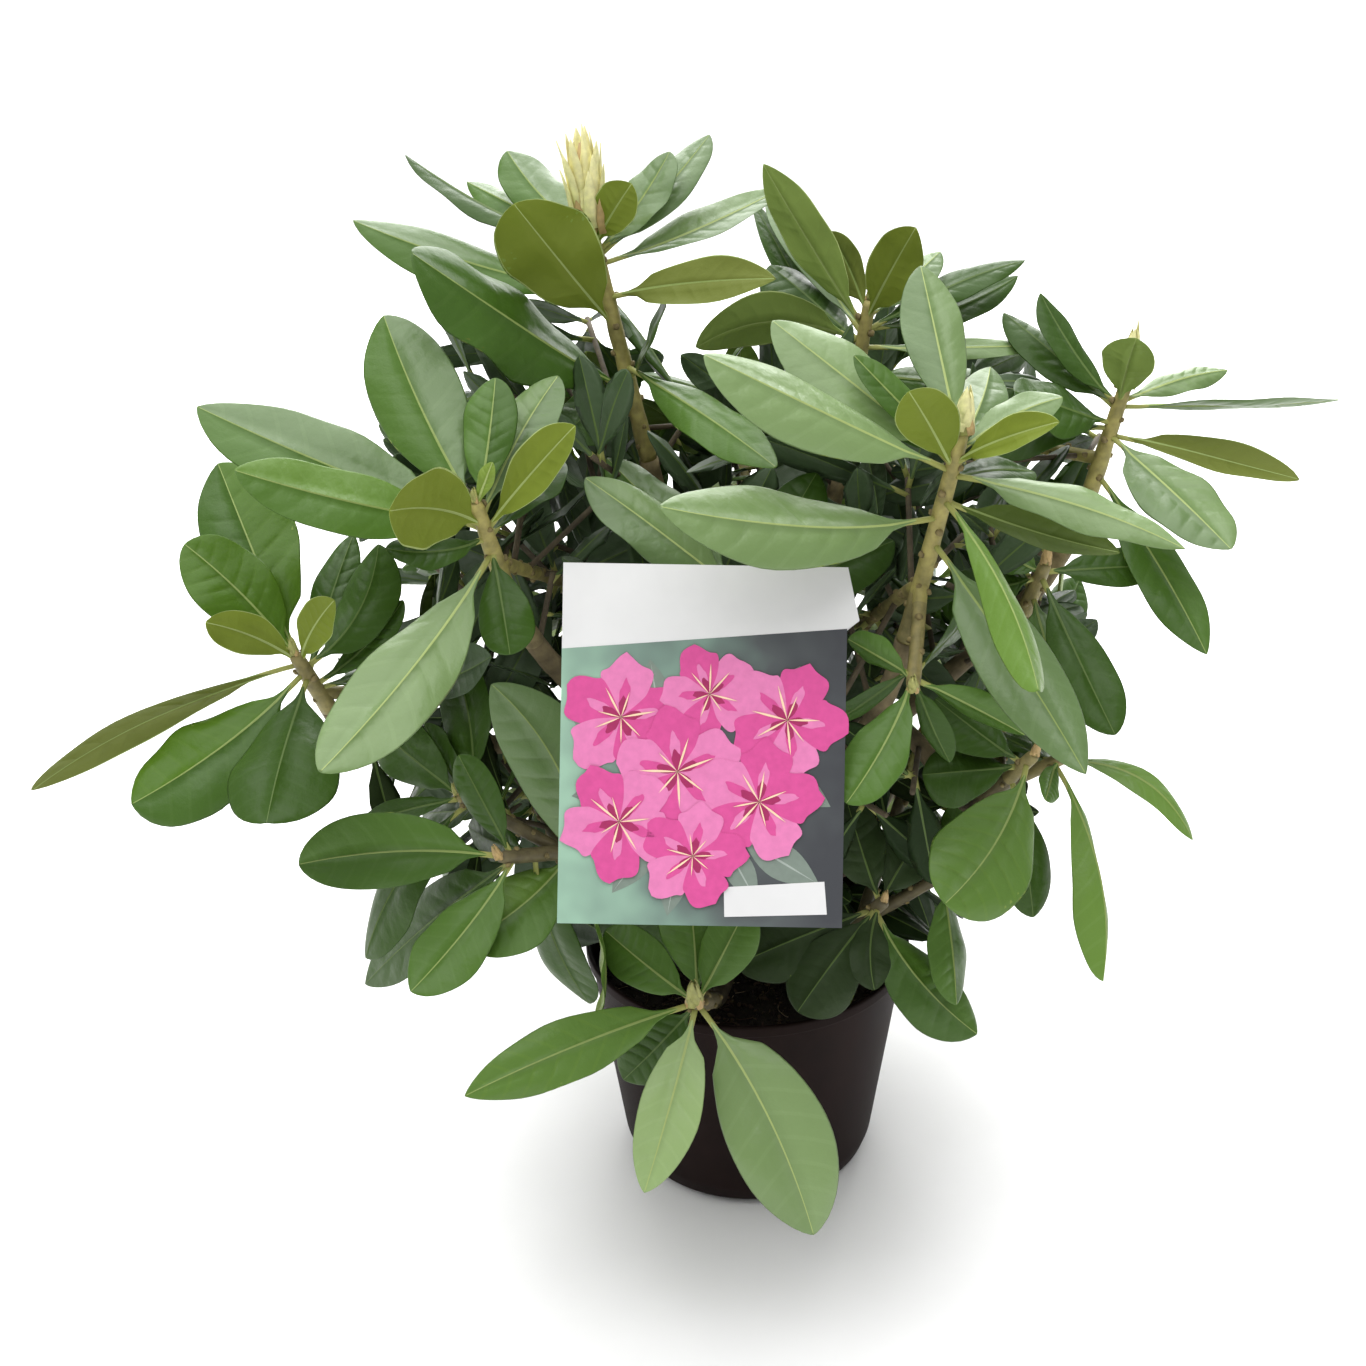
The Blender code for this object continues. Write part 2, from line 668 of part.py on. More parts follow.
def front_leaf(row, bud, way, lean_change):
    """A leaf given as it is seen from the front: root, tip, upper normal, width and how its middle bows."""
    clock, seen_length, lean, width, below, bow, *turn = row
    right, up, _ = view_axes()
    root = bud - way * below / 1000
    to_tip = right * math.cos(math.radians(clock)) + up * math.sin(math.radians(clock))
    seen_tip = bud + to_tip * seen_length / 1000
    toward = (VIEW_POINT - seen_tip).normalized()
    tip = seen_tip + toward * math.tan(math.radians(lean + lean_change)) * (seen_tip - root).length
    chord = (tip - root).normalized()
    facing = (toward - chord * toward.dot(chord)).normalized()
    if turn:
        normal = Matrix.Rotation(math.radians(turn[0]), 3, chord) @ facing
    else:
        usual = (way - chord * way.dot(chord)).normalized()
        normal = usual + (toward - chord * toward.dot(chord)) * FRONT_FACING
    seen_left = toward.cross(seen_tip - root).normalized()
    arch = toward * normal.dot(toward) * LEAF_ARCH * (tip - root).length
    return root, tip, normal.normalized(), width * FLATTENED_WIDTH / 1000, seen_left * bow / 1000 + arch


def rule_leaf(order, count, bud, way, length, turn):
    """A leaf of a shoot that follows the rule: young ones upright at the bud, old ones drooping below."""
    share = order / (count - 1)
    across = way.orthogonal().normalized()
    out = Matrix.Rotation(turn + GOLDEN_TURN * order, 3, way) @ across
    rise = YOUNG_RISE + (OLD_RISE - YOUNG_RISE) * share
    chord = out * math.cos(rise) + way * math.sin(rise)
    growth = math.sin(math.pi / 2 * min(1.0, share / FULL_SIZE_SHARE))
    size = length * (YOUNG_SIZE + (1 - YOUNG_SIZE) * growth)
    root = bud - way * (YOUNG_BELOW + (OLD_BELOW - YOUNG_BELOW) * share)
    normal = (way - chord * way.dot(chord)).normalized()
    return root, root + chord * size, normal, size * RULE_WIDTH, normal * LEAF_ARCH * size


def tree_of(points, faces):
    return BVHTree.FromPolygons(points, faces)


def fits(leaf, stations, mass, obstacles):
    """Whether the leaf's blade is clear of its own mass, and all of it of everything else."""
    points, faces = leaf_solid(leaf, stations, TEST_THICKNESS)
    if min(p.z for p in points) < LEAST_HEIGHT:
        return False
    middle = (leaf[0] + leaf[1]) / 2
    radius = (leaf[1] - leaf[0]).length / 2 + leaf[3] / 2 + leaf[4].length
    whole = tree_of(points, faces)
    blade = tree_of(*leaf_solid(leaf, stations, TEST_THICKNESS, TEST_START))
    for centre, reach, owner, outer, inner in obstacles:
        if (centre - middle).length >= radius + reach:
            continue
        if owner == mass and inner is not None and blade.overlap(inner):
            return False
        if owner != mass and whole.overlap(outer):
            return False
    return True


def within_seen_reach(point):
    """Whether the point is seen inside the crown from the front."""
    right, up, forward = view_axes()
    sight = point - VIEW_POINT
    across, rise = sight.dot(right) / sight.dot(forward), sight.dot(up) / sight.dot(forward)
    place = math.atan2(rise, across) / (2 * math.pi) % 1 * len(SEEN_REACH)
    first = int(place)
    reach, after = SEEN_REACH[first], SEEN_REACH[(first + 1) % len(SEEN_REACH)]
    return math.hypot(across, rise) * 1000 < reach + (after - reach) * (place - first)


def obstacle(shape, owner=None, inner=None):
    """What leaves keep clear of: its middle, reach and mass, and its shape to others and to its own."""
    points, faces = shape
    middle = sum(points, Vector()) / len(points)
    reach = max((p - middle).length for p in points)
    return middle, reach, owner, tree_of(points, faces), inner


def all_shoots():
    """Each shoot's mass, foot, bud and bud length: a side shoot's foot is on the twig of its mass."""
    given = {name: (foot, bud, size / 1000) for name, (foot, bud, size, _) in FRONT_SHOOTS.items()}
    given.update({name: (foot, bud, RULE_BUD_LENGTH) for name, (foot, bud, _) in INNER_SHOOTS.items()})
    given.update({name: (foot, bud, RULE_BUD_LENGTH) for name, (foot, bud, _) in back_shoots().items()})
    shoots = {}
    for name, (foot, bud, size) in given.items():
        mass = foot if isinstance(foot, str) else name
        if mass != name:
            foot = Vector(given[mass][0]).lerp(Vector(given[mass][1]), SIDE_SHARE)
        shoots[name] = (mass, Vector(foot), Vector(bud), size)
    return shoots


def back_shoots():
    """Foot, bud and leaf length of each shoot on the sides and at the back."""
    shoots = {}
    for row, (count, reach, height, first, last, length) in BACK_ROWS.items():
        for i in range(count):
            azimuth = math.radians(first + (last - first) * i / (count - 1))
            out = Vector((math.cos(azimuth), math.sin(azimuth), 0.0))
            bud = BACK_MIDDLE + out * reach + Vector((0.0, 0.0, height))
            way = out * math.cos(BACK_TWIG_RISE) + Vector((0.0, 0.0, math.sin(BACK_TWIG_RISE)))
            shoots[f"{row}_{i + 1}"] = (bud - way * BACK_TWIG_LENGTH, bud, length)
    return shoots


def place_leaves(shoots, obstacles):
    """The leaves of every shoot: those seen from the front first, then those that the rule adds."""
    leaves = {name: [] for name in shoots}
    chance = random.Random(SEED)

    def add(name, leaf, stations):
        """Adds the leaf to the shoot where it fits, and says whether it did."""
        mass = shoots[name][0]
        if not fits(leaf, stations, mass, obstacles):
            return False
        leaves[name].append((leaf, stations))
        blade = tree_of(*leaf_solid(leaf, stations, LEAF_THICKNESS, TEST_START))
        obstacles.append(obstacle(leaf_solid(leaf, stations, LEAF_THICKNESS), mass, blade))
        return True

    def add_by_rule(name, count, length, accepted):
        _, foot, bud, _ = shoots[name]
        way = (bud - foot).normalized()
        turn = chance.uniform(0, 2 * math.pi)
        for order in range(count):
            leaf = rule_leaf(order, count, bud, way, length * chance.uniform(*RULE_LENGTHS), turn)
            if within_seen_reach(leaf[1]) and accepted((leaf[1] - leaf[0]).normalized()):
                add(name, leaf, FILL_STATIONS)

    for name, (_, _, _, rows) in FRONT_SHOOTS.items():
        _, foot, bud, _ = shoots[name]
        way = (bud - foot).normalized()
        for row in rows:
            any(add(name, front_leaf(row, bud, way, change), FRONT_STATIONS) for change in LEAN_STEPS)
    for name, (_, _, length) in {**INNER_SHOOTS, **back_shoots()}.items():
        add_by_rule(name, RULE_LEAVES, length, lambda chord: True)
    away = view_axes()[2]
    for name in FRONT_SHOOTS:
        add_by_rule(name, EXTRA_LEAVES, EXTRA_LENGTH, lambda chord: chord.dot(away) > EXTRA_AWAY)
    return leaves


# Masses

def twig_mesh(foot, bud, is_main):
    """The twig of a shoot: a main one starts just clear of its bough, a side one inside the main one."""
    start = foot + (bud - foot).normalized() * (GAP if is_main else 0.0)
    foot_radius = TWIG_FOOT_RADIUS if is_main else TWIG_TOP_RADIUS
    return cone_between("twig", start, bud, foot_radius, TWIG_TOP_RADIUS, TWIG_SIDES)


def cone_between(name, start, end, start_radius, end_radius, sides):
    shape = bmesh.new()
    length = (end - start).length
    bmesh.ops.create_cone(
        shape, cap_ends=True, segments=sides, radius1=start_radius, radius2=end_radius, depth=length
    )
    turn = (end - start).to_track_quat("Z", "Y").to_matrix().to_4x4()
    place = Matrix.Translation((start + end) / 2) @ turn
    bmesh.ops.transform(shape, matrix=place, verts=shape.verts)
    mesh = bpy.data.meshes.new(name)
    shape.to_mesh(mesh)
    shape.free()
    return mesh


def bud_mesh(bud, way, length):
    """A pointed bud, widest a third of the way up."""
    sides = BUD_SIDES
    across = way.orthogonal().normalized()
    points, faces = [], []
    scale = min(BUD_RADIUS, length * BUD_SLENDERNESS)
    for share, size in BUD_RINGS:
        for i in range(sides):
            out = Matrix.Rotation(2 * math.pi * i / sides, 3, way) @ across
            points.append(bud + way * share * length + out * scale * size)
    points.append(bud + way * length)
    faces.append(tuple(reversed(range(sides))))
    for ring in range(len(BUD_RINGS) - 1):
        for i in range(sides):
            a, b = ring * sides + i, ring * sides + (i + 1) % sides
            faces.append((a, b, b + sides, a + sides))
    last = (len(BUD_RINGS) - 1) * sides
    for i in range(sides):
        faces.append((last + i, last + (i + 1) % sides, len(points) - 1))
    return mesh_from("bud", points, faces)


def build_mass(mass, shoots, leaves, collection, look):
    """One mass: its twigs, buds and leaves joined into one solid."""
    pieces = []
    for name, (of_mass, foot, bud, bud_length) in shoots.items():
        if of_mass != mass:
            continue
        pieces.append(bud_mesh(bud, (bud - foot).normalized(), bud_length))
        if name != mass:
            pieces.append(twig_mesh(foot, bud, False))
        for leaf, stations in leaves[name]:
            pieces.append(mesh_from("leaf", *leaf_solid(leaf, stations, LEAF_THICKNESS)))
    _, foot, bud, _ = shoots[mass]
    mesh = joined(twig_mesh(foot, bud, True), pieces, "UNION")
    mesh.name = "mass_" + mass
    mesh.materials.clear()
    new_object("mass_" + mass, mesh, collection, look)


# Label card and its loop

def card_frame():
    """The card's place: X to its right, Y up the card, Z out of its printed face."""
    turn = (
        Matrix.Rotation(-CARD_YAW, 4, "Z")
        @ Matrix.Rotation(math.pi / 2 - CARD_LEAN, 4, "X")
        @ Matrix.Rotation(CARD_ROLL, 4, "Z")
    )
    return Matrix.Translation(CARD_CENTRE) @ turn


def card_outline():
    """The card's edge, with the tip of its title band standing out at the right."""
    half_width, half_height = CARD_WIDTH / 2, CARD_HEIGHT / 2
    return (
        (-half_width, -half_height),
        (half_width, -half_height),
        (half_width, CARD_TAB_BOTTOM),
        (half_width + CARD_TAB_REACH, CARD_TAB_TOP),
        (half_width, half_height),
        (-half_width, half_height),
    )


def build_card(collection):
    look = material("printed_card", (0.75, 0.72, 0.74), 0.35)
    curve = bpy.data.curves.new("label_card", "CURVE")
    curve.dimensions = "2D"
    curve.fill_mode = "BOTH"
    curve.extrude = CARD_THICKNESS / 2
    spline = curve.splines.new("POLY")
    outline = card_outline()
    spline.points.add(len(outline) - 1)
    for point, (x, y) in zip(spline.points, outline):
        point.co = (x, y, 0.0, 1.0)
    spline.use_cyclic_u = True
    obj = bpy.data.objects.new("label_card", curve)
    bpy.context.scene.collection.objects.link(obj)
    obj.matrix_world = card_frame()
    bpy.context.view_layer.update()
    mesh = evaluated_mesh(obj)
    shape = bmesh.new()
    shape.from_mesh(mesh)
    bmesh.ops.remove_doubles(shape, verts=shape.verts, dist=0.00002)
    bmesh.ops.recalc_face_normals(shape, faces=shape.faces)
    shape.to_mesh(mesh)
    shape.free()
    mesh.name = "label_card"
    new_object("label_card", mesh, collection, look)
    return mesh


def ring_mesh(centre, way, radius, thickness):
    """A round ring about an axis."""
    steps, sides = TIE_RING_STEPS, TIE_SIDES
    across = way.orthogonal().normalized()
    points, faces = [], []
    for i in range(steps):
        out = Matrix.Rotation(2 * math.pi * i / steps, 3, way) @ across
        for j in range(sides):
            angle = 2 * math.pi * j / sides
            rise = way * math.sin(angle) * thickness
            points.append(centre + out * (radius + thickness * math.cos(angle)) + rise)
            after, beside = (i + 1) % steps, (j + 1) % sides
            faces.append((i * sides + j, after * sides + j, after * sides + beside, i * sides + beside))
    return mesh_from("ring", points, faces)


def build_tie(collection, bough):
    """A ring round a bough with a cord from it up to a knob at the back of the card."""
    centre, way = along(bough, TIE_SHARE)
    ring_radius = TIE_RING_INNER_RADIUS + TIE_RADIUS
    place = card_frame()
    seat = place @ Vector((0.0, TIE_SEAT_HEIGHT, -CARD_THICKNESS / 2 - GAP))
    back = -(place.to_3x3() @ Vector((0.0, 0.0, 1.0)))
    top_radius = TIE_KNOB_RADIUS * TIE_KNOB_TAPER
    top = seat + back * TIE_KNOB_DEPTH
    knob = cone_between("knob", seat, top, TIE_KNOB_RADIUS, top_radius, TIE_KNOB_SIDES)
    reach = seat - centre
    start = centre + (reach - way * reach.dot(way)).normalized() * ring_radius
    end = seat + back * TIE_KNOB_DEPTH / 2
    path = []
    for i in range(TIE_POINTS):
        share = i / (TIE_POINTS - 1)
        path.append(start.lerp(end, share) - Vector((0.0, 0.0, TIE_SAG * math.sin(math.pi * share))))
    cord = tube_mesh("cord", path, [TIE_RADIUS] * len(path), 1)
    mesh = joined(ring_mesh(centre, way, ring_radius, TIE_RADIUS), [knob, cord], "UNION")
    mesh.name = "label_tie"
    new_object("label_tie", mesh, collection, material("tie_plastic", (0.60, 0.62, 0.60), 0.4))
    return mesh


def main():
    clear_scene()
    plant = bpy.data.collections.new("potted_rhododendron")
    bpy.context.scene.collection.children.link(plant)
    still = [build_pot(plant), build_soil(plant)]
    shoots = all_shoots()
    masses = [name for name, shoot in shoots.items() if shoot[0] == name]
    feet = {name: (shoots[name][1], (shoots[name][2] - shoots[name][1]).normalized()) for name in masses}
    paths, limbs = build_limbs(plant, feet)
    card = build_card(plant)
    tie = build_tie(plant, paths["centre"])
    bpy.context.view_layer.update()
    graph = bpy.context.evaluated_depsgraph_get()
    solids = [bpy.data.meshes.new_from_object(obj.evaluated_get(graph)) for obj in still]
    obstacles = [obstacle(triangles(mesh)) for mesh in (*limbs.values(), card, tie, *solids)]
    for name, (mass, foot, bud, bud_length) in shoots.items():
        twig = triangles(twig_mesh(foot, bud, name == mass))
        obstacles.append(obstacle(twig, mass, tree_of(*twig)))
        obstacles.append(obstacle(triangles(bud_mesh(bud, (bud - foot).normalized(), bud_length)), mass))
    leaves = place_leaves(shoots, obstacles)
    look = material("leaf", (0.085, 0.190, 0.050), 0.5)
    for mass in masses:
        build_mass(mass, shoots, leaves, plant, look)


main()
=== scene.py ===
"""The looks of a potted flowering shrub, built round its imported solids.

Metres, +Z up, the front towards -Y. The shoots, their leaves and the rule that places them are those of
the solids; here every leaf, twig, bud and limb has its fine shape.
"""

import random
from math import atan2, cos, exp, hypot, inf, pi, radians, sin, sqrt, tan, tau

import bmesh
import bpy
import numpy as np
from mathutils import Matrix, Vector, noise
from mathutils.bvhtree import BVHTree

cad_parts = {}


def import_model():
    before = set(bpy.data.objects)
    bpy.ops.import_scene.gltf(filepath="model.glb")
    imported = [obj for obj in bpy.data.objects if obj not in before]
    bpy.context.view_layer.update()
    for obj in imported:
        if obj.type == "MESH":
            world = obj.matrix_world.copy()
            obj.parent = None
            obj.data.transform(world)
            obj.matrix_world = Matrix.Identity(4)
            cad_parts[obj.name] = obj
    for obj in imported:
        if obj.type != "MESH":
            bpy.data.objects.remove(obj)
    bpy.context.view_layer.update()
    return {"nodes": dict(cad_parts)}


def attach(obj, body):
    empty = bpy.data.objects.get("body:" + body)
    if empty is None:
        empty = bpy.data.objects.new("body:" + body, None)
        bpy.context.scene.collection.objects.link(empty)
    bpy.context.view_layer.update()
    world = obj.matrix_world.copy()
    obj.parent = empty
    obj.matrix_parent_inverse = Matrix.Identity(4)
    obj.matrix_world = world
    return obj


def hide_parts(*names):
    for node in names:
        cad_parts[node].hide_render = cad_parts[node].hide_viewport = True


UP = Vector((0.0, 0.0, 1.0))

# Where the front of the plant is seen from, and the way that view looks; the photograph's scale in pixels
VIEW_POINT = Vector((0.0, -0.90, 0.725))
VIEW_PITCH = radians(24.2)
VIEW_YAW = radians(-2.3)
VIEW_ROLL = radians(-1.3)
LENS_MM = 44.8
SENSOR_MM = 36.0
FOCAL_PIXELS = 1700
FRAME_MIDDLE = 683

# Pot and peat
POT_RIM_RADIUS = 0.100
POT_HEIGHT = 0.150
POT_LIP_HEIGHT = 0.007
POT_LIP_DEPTH = 0.0018
POT_FOOT_RADIUS = 0.0796
POT_FOOT_HEIGHT = 0.016
POT_BASE_RADIUS = 0.068
POT_WALL = 0.0016
POT_FLOOR = 0.003
POT_ROUNDING = 0.0016
POT_SEGMENTS = 128
PEAT_EDGE_HEIGHT = 0.131
PEAT_MIDDLE_HEIGHT = 0.134
PEAT_DEPTH = 0.03
PEAT_GAP = 0.0004
PEAT_RINGS = 46
PEAT_SEGMENTS = 150
PEAT_ROUGHNESS = 0.0022
PEAT_CRUMBS = 1500
CRUMB_SIZE = (0.0007, 0.0026)
CRUMB_STRETCHES = ((0.6, 1.6), (0.5, 1.1), (0.35, 0.8))
PEAT_FIBRES = 150
FIBRE_LENGTH = (0.004, 0.014)
FIBRE_BEND = (-1.2, 1.2)
FIBRE_RADIUS = 0.00028

# Trunk, boughs and twigs
TRUNK_FOOT_RADIUS = 0.017
TRUNK_TOP_RADIUS = 0.0105
TRUNK_HEIGHT = 0.045
TRUNK_LEAN = Vector((0.004, 0.006, 0.0))
TRUNK_FLARE_HEIGHT = 0.010
TRUNK_CROWDING = 1.5
TRUNK_FOOT = Vector((0.0, 0.0, 0.1353))
TRUNK_POINTS = 40
BOUGH_AIM = 1.3
BOUGH_END_LENGTH = 0.006
BOUGH_POINTS = 7
FINE_STEP = 0.003
LIMB_SIDES = 18
TWIG_FOOT_RADIUS = 0.0048
TWIG_TOP_RADIUS = 0.0036
TWIG_SIDES = 5
BARK_RELIEF = 0.10
BARK_SCALE = 240
STUB_SPACING = 0.007
STUB_RADII = (0.0021, 0.0018, 0.0010)
STUB_SHIFT = (0.3, 0.9)
STUB_LIFT = (0.0004, 0.0012)
STUB_SIZE = (0.7, 1.1)

# The heights up to which bark and twigs are old, and then ageing: darker low down, for older bark and for
# painted shade under the crown
BARK_HEIGHTS = (0.28, 0.38)
SKIN_HEIGHTS = (0.30, 0.41)

# Buds; the share and width of each of a scale's rings, and the turn and depth of each of a ring's points
BUD_RADIUS = 0.0055
BUD_SLENDERNESS = 0.24
BUD_SIDES = 6
BUD_RINGS = ((-0.05, 0.45), (0.32, 1.0), (0.72, 0.6))
BUD_UPTURN = 2.0
BUD_SCALES = 14
OPENING_BUD = "top"
OPENING_SCALES = 30
OPENING_SIZE = 1.7
OPENING_FLARE = (0.001, 0.011)
CREAM_BUDS = ("top", "far_right", "right_front")
BUD_CORE = ((-0.06, 0.5), (0.1, 0.85), (0.35, 0.8), (0.6, 0.5), (0.85, 0.12))
SCALE_RINGS = ((0.0, 0.75), (0.3, 1.0), (0.6, 0.8), (0.85, 0.42), (1.0, 0.06))
SCALE_SIDES = ((-1, 0), (0, 0.00035), (1, 0), (1, -0.0003), (0, -0.0001), (-1, -0.0003))

# Leaf, as the solids have it
LEAF_THICKNESS = 0.0018
FLATTENED_WIDTH = 1.15
FRONT_FACING = 0.7
LEAF_STALK_HALF_WIDTH = 0.0016
LEAF_STALK_SHARE = 0.10
LEAF_ARCH = 0.03
LEAF_EDGE_DROP = 0.16
LEAF_SHOULDER = 0.75
LEAF_BLUNTNESS = 0.55
FRONT_STATIONS = (0.30, 0.62, 0.91)
FILL_STATIONS = (0.38, 0.84)
TEST_THICKNESS = 0.006
TEST_START = 0.16
LEAN_STEPS = (0, 5, -5, 10, -10, 15, -15, 20, -20, 26, -26)
LEAST_HEIGHT = 0.012

# Fine leaf: side veins, its columns from the midrib's edge to the margin as shares of the way out, and the
# rows of a plain leaf inside the crown
VEIN_PAIRS = 8
VEIN_FIRST = 0.20
VEIN_LAST = 0.91
VEIN_HALF_WIDTH = 0.009
VEIN_DEPTH = 0.00042
VEIN_SLANT = 0.12
LEAF_COLUMNS = (0.0, 0.28, 0.56, 0.82, 0.96, 1.0)
STALK_ROWS = (0.0, 0.05, 0.095, 0.135)
STALK_END = 0.09
LAST_ROW = 0.988
PLAIN_ROWS = (0.0, 0.09, 0.14, 0.28, 0.45, 0.62, 0.78, 0.90, 0.97)
PLAIN_COLUMNS = (0.0, 0.6, 1.0)
BLADE_THICKNESS = 0.0005
RIB_HALF_WIDTH = 0.0008
RIB_TAPER = 0.75
RIB_HEIGHT = 0.0003
RIB_CREASE = 0.0007
FOLD_RISE = -0.75
FOLD_NARROWING = 0.15
FOLD_BLUNTNESS = 0.22
FOLD_START = 0.4
# The share of leaves whose lower half is darkened as painted shade
SHADED_SHARE = 0.7
MOST_TRIANGLES = 150000
MASS_TRIANGLES = 25000

# How leaves differ: the least and the greatest of each random measure
TIP_POINT = (-0.08, 0.06)
SHOULDER = (0.85, 1.10)
LOPSIDED = (-0.06, 0.06)
RIPPLE = (0.005, 0.03)
RIPPLES = (1.5, 3.0)
ANY_PHASE = (0, 6.28)
OTHER_SIDE_PHASE = (1.5, 4.5)
FOLD = (-0.16, 0.26)
ROLL = (0.02, 0.26)
WAVE = (0.03, 0.12)
WAVES = (1.4, 3.0)
SWELLS = (1.0, 2.4)
GROOVE_SPELLS = (1.0, 3.0)
CURL = (0.0, 0.035)
TWIST = (-0.16, 0.16)
SWAY = (-0.018, 0.018)

# Leaves that the rule adds to a shoot
GOLDEN_TURN = radians(137.5)
SEED = 12
YOUNG_RISE = radians(52)
OLD_RISE = radians(-20)
YOUNG_SIZE = 0.62
YOUNG_LEAVES = 4
FULL_SIZE_SHARE = 5 / 6
YOUNG_BELOW = 0.003
OLD_BELOW = 0.029
RULE_WIDTH = 0.34
RULE_LENGTHS = (0.86, 1.08)
RULE_LEAVES = 10
RULE_BUD_LENGTH = 0.012
SIDE_SHARE = 0.30
EXTRA_LEAVES = 9
EXTRA_LENGTH = 0.080
EXTRA_AWAY = 0.25

# Small shoots inside the crown
FILL_SHARES = (0.20, 0.27, 0.34, 0.41, 0.48, 0.55, 0.62, 0.69, 0.76, 0.83, 0.90, 0.97)
FILL_TWIG_LENGTH = (0.030, 0.110)
FILL_TWIG_RADIUS = 0.0016
FILL_TWIG_AHEAD = 0.5
FILL_TWIG_LIFT = 0.35
FILL_LEAVES = 13
FILL_LENGTH = (0.050, 0.108)
FILL_CLEARANCE = 0.002
TWIG_SKY_MARGIN = 12
TWIG_SKY_TESTS = (0.3, 0.6, 0.9)
FILL_FRONT = -0.075
FILL_FRONT_LOW = -0.095
FILL_BACK = 0.130
SHADE_HEIGHT = 0.33
SHADE_REACH = 0.04

# Light and floor
WORLD_STRENGTH = 0.45
KEY_STRENGTH = 3.7
KEY_SOFTNESS = 80
KEY_WAY = Vector((0.15, 0.10, -1.0))
BACK_LIGHT_PLACE = Vector((0.0, 2.3, 1.9))
BACK_LIGHT_TARGET = Vector((0.0, 0.0, 0.35))
BACK_LIGHT_SIZE = 2.6
BACK_LIGHT_POWER = 120
FLOOR_SIZE = 120.0

# Label card: its size and place, a petal's layers (rise, reach, breadth and ruffle), the bare panel's
# corners, the ground's colours, and its blossoms (middle, size and turn) and leaves (foot, heading in
# degrees and length)
CARD_WIDTH = 0.139
CARD_HEIGHT = 0.176
CARD_THICKNESS = 0.0008
CARD_CENTRE = Vector((-0.021, -0.156, 0.357))
CARD_LEAN = radians(24.2)
CARD_YAW = radians(-2.3)
CARD_ROLL = radians(-2.3)
CARD_TAB_REACH = 0.006
CARD_TAB_TOP = 0.062
CARD_TAB_BOTTOM = 0.058
PRINT_THICKNESS = 0.00012
BLOSSOM_STEP = 0.00016
PETAL_STEP = 0.00002
PETAL_LAYERS = ((0, 1, 0.40, 0.06), (1, 0.62, 0.13, 0.05), (1.4, 0.34, 0.20, 0.05))
BAND_LEFT = 0.046
CARD_PANEL = ((0.012, -0.0835), (0.062, -0.0815), (0.0605, -0.0655), (0.0115, -0.0690))
CARD_GROUND = (
    (0.0, (0.30, 0.48, 0.36)), (0.35, (0.16, 0.24, 0.20)),
    (0.65, (0.075, 0.085, 0.088)), (1.0, (0.045, 0.048, 0.055)),
)
CARD_BLOSSOMS = (
    ((-0.040, 0.013), 0.031, 10), ((0.003, 0.025), 0.025, 40), ((0.041, 0.013), 0.030, 65),
    ((-0.012, -0.013), 0.032, 25), ((0.028, -0.027), 0.031, 80), ((-0.040, -0.038), 0.030, 50),
    ((-0.004, -0.054), 0.027, 5),
)
CARD_LEAVES = (
    ((-0.020, 0.006), 100, 0.036), ((0.030, 0.010), 60, 0.034), ((0.030, -0.010), -30, 0.038),
    ((-0.030, -0.020), 190, 0.034), ((-0.020, -0.040), 235, 0.040), ((0.010, -0.045), 300, 0.036),
    ((0.020, -0.045), 330, 0.044), ((-0.010, -0.050), 260, 0.034), ((-0.050, 0.000), 120, 0.030),
)

# A leaf's colours by letter: upper side, its half in painted shade, under side, midrib above and beneath,
# margin
TINT_PARTS = ("top", "half", "under", "rib", "under_rib", "margin")
LEAF_TINTS = {
    "m": "mid moss olive rib pale_rib olive",
    "n": "moss deep dull_olive rib rib dull_olive",
    "a": "plain plain olive rib pale_rib olive",
    "d": "deep deep dull_olive dull_rib rib dull_olive",
    "l": "light mid olive rib pale_rib olive",
    # g, q, p, w and v: leaves whose upper side carries a painted sheen
    "g": "grey mid olive rib pale_rib olive",
    "q": "grey grey olive rib pale_rib olive",
    "p": "pale grey olive pale_rib pale_rib olive",
    "w": "whitish pale olive pale_rib pale_rib olive",
    "v": "fair fair olive pale_rib pale_rib olive",
    "f": "fresh moss olive rib pale_rib olive",
    "b": "bright bright bright pale_rib pale_rib bright_vein",
    "y": "bright bright young pale_rib pale_rib pale_rib",
    "u": "mid moss brown_olive rib rib rib",
    "o": "mid moss olive rib rib pale_rib",
    # i, s, x and k: leaves inside the crown and low by the pot, darkened as painted shade
    "i": "deep deep shade dull_rib dull_rib deep",
    "s": "shade shade shade dull_rib dull_rib shade",
    "x": "dusk dusk dull_olive dull_rib dull_rib dull_olive",
    "k": "dark dark dull_dark dull_rib dull_rib dull_dark",
}

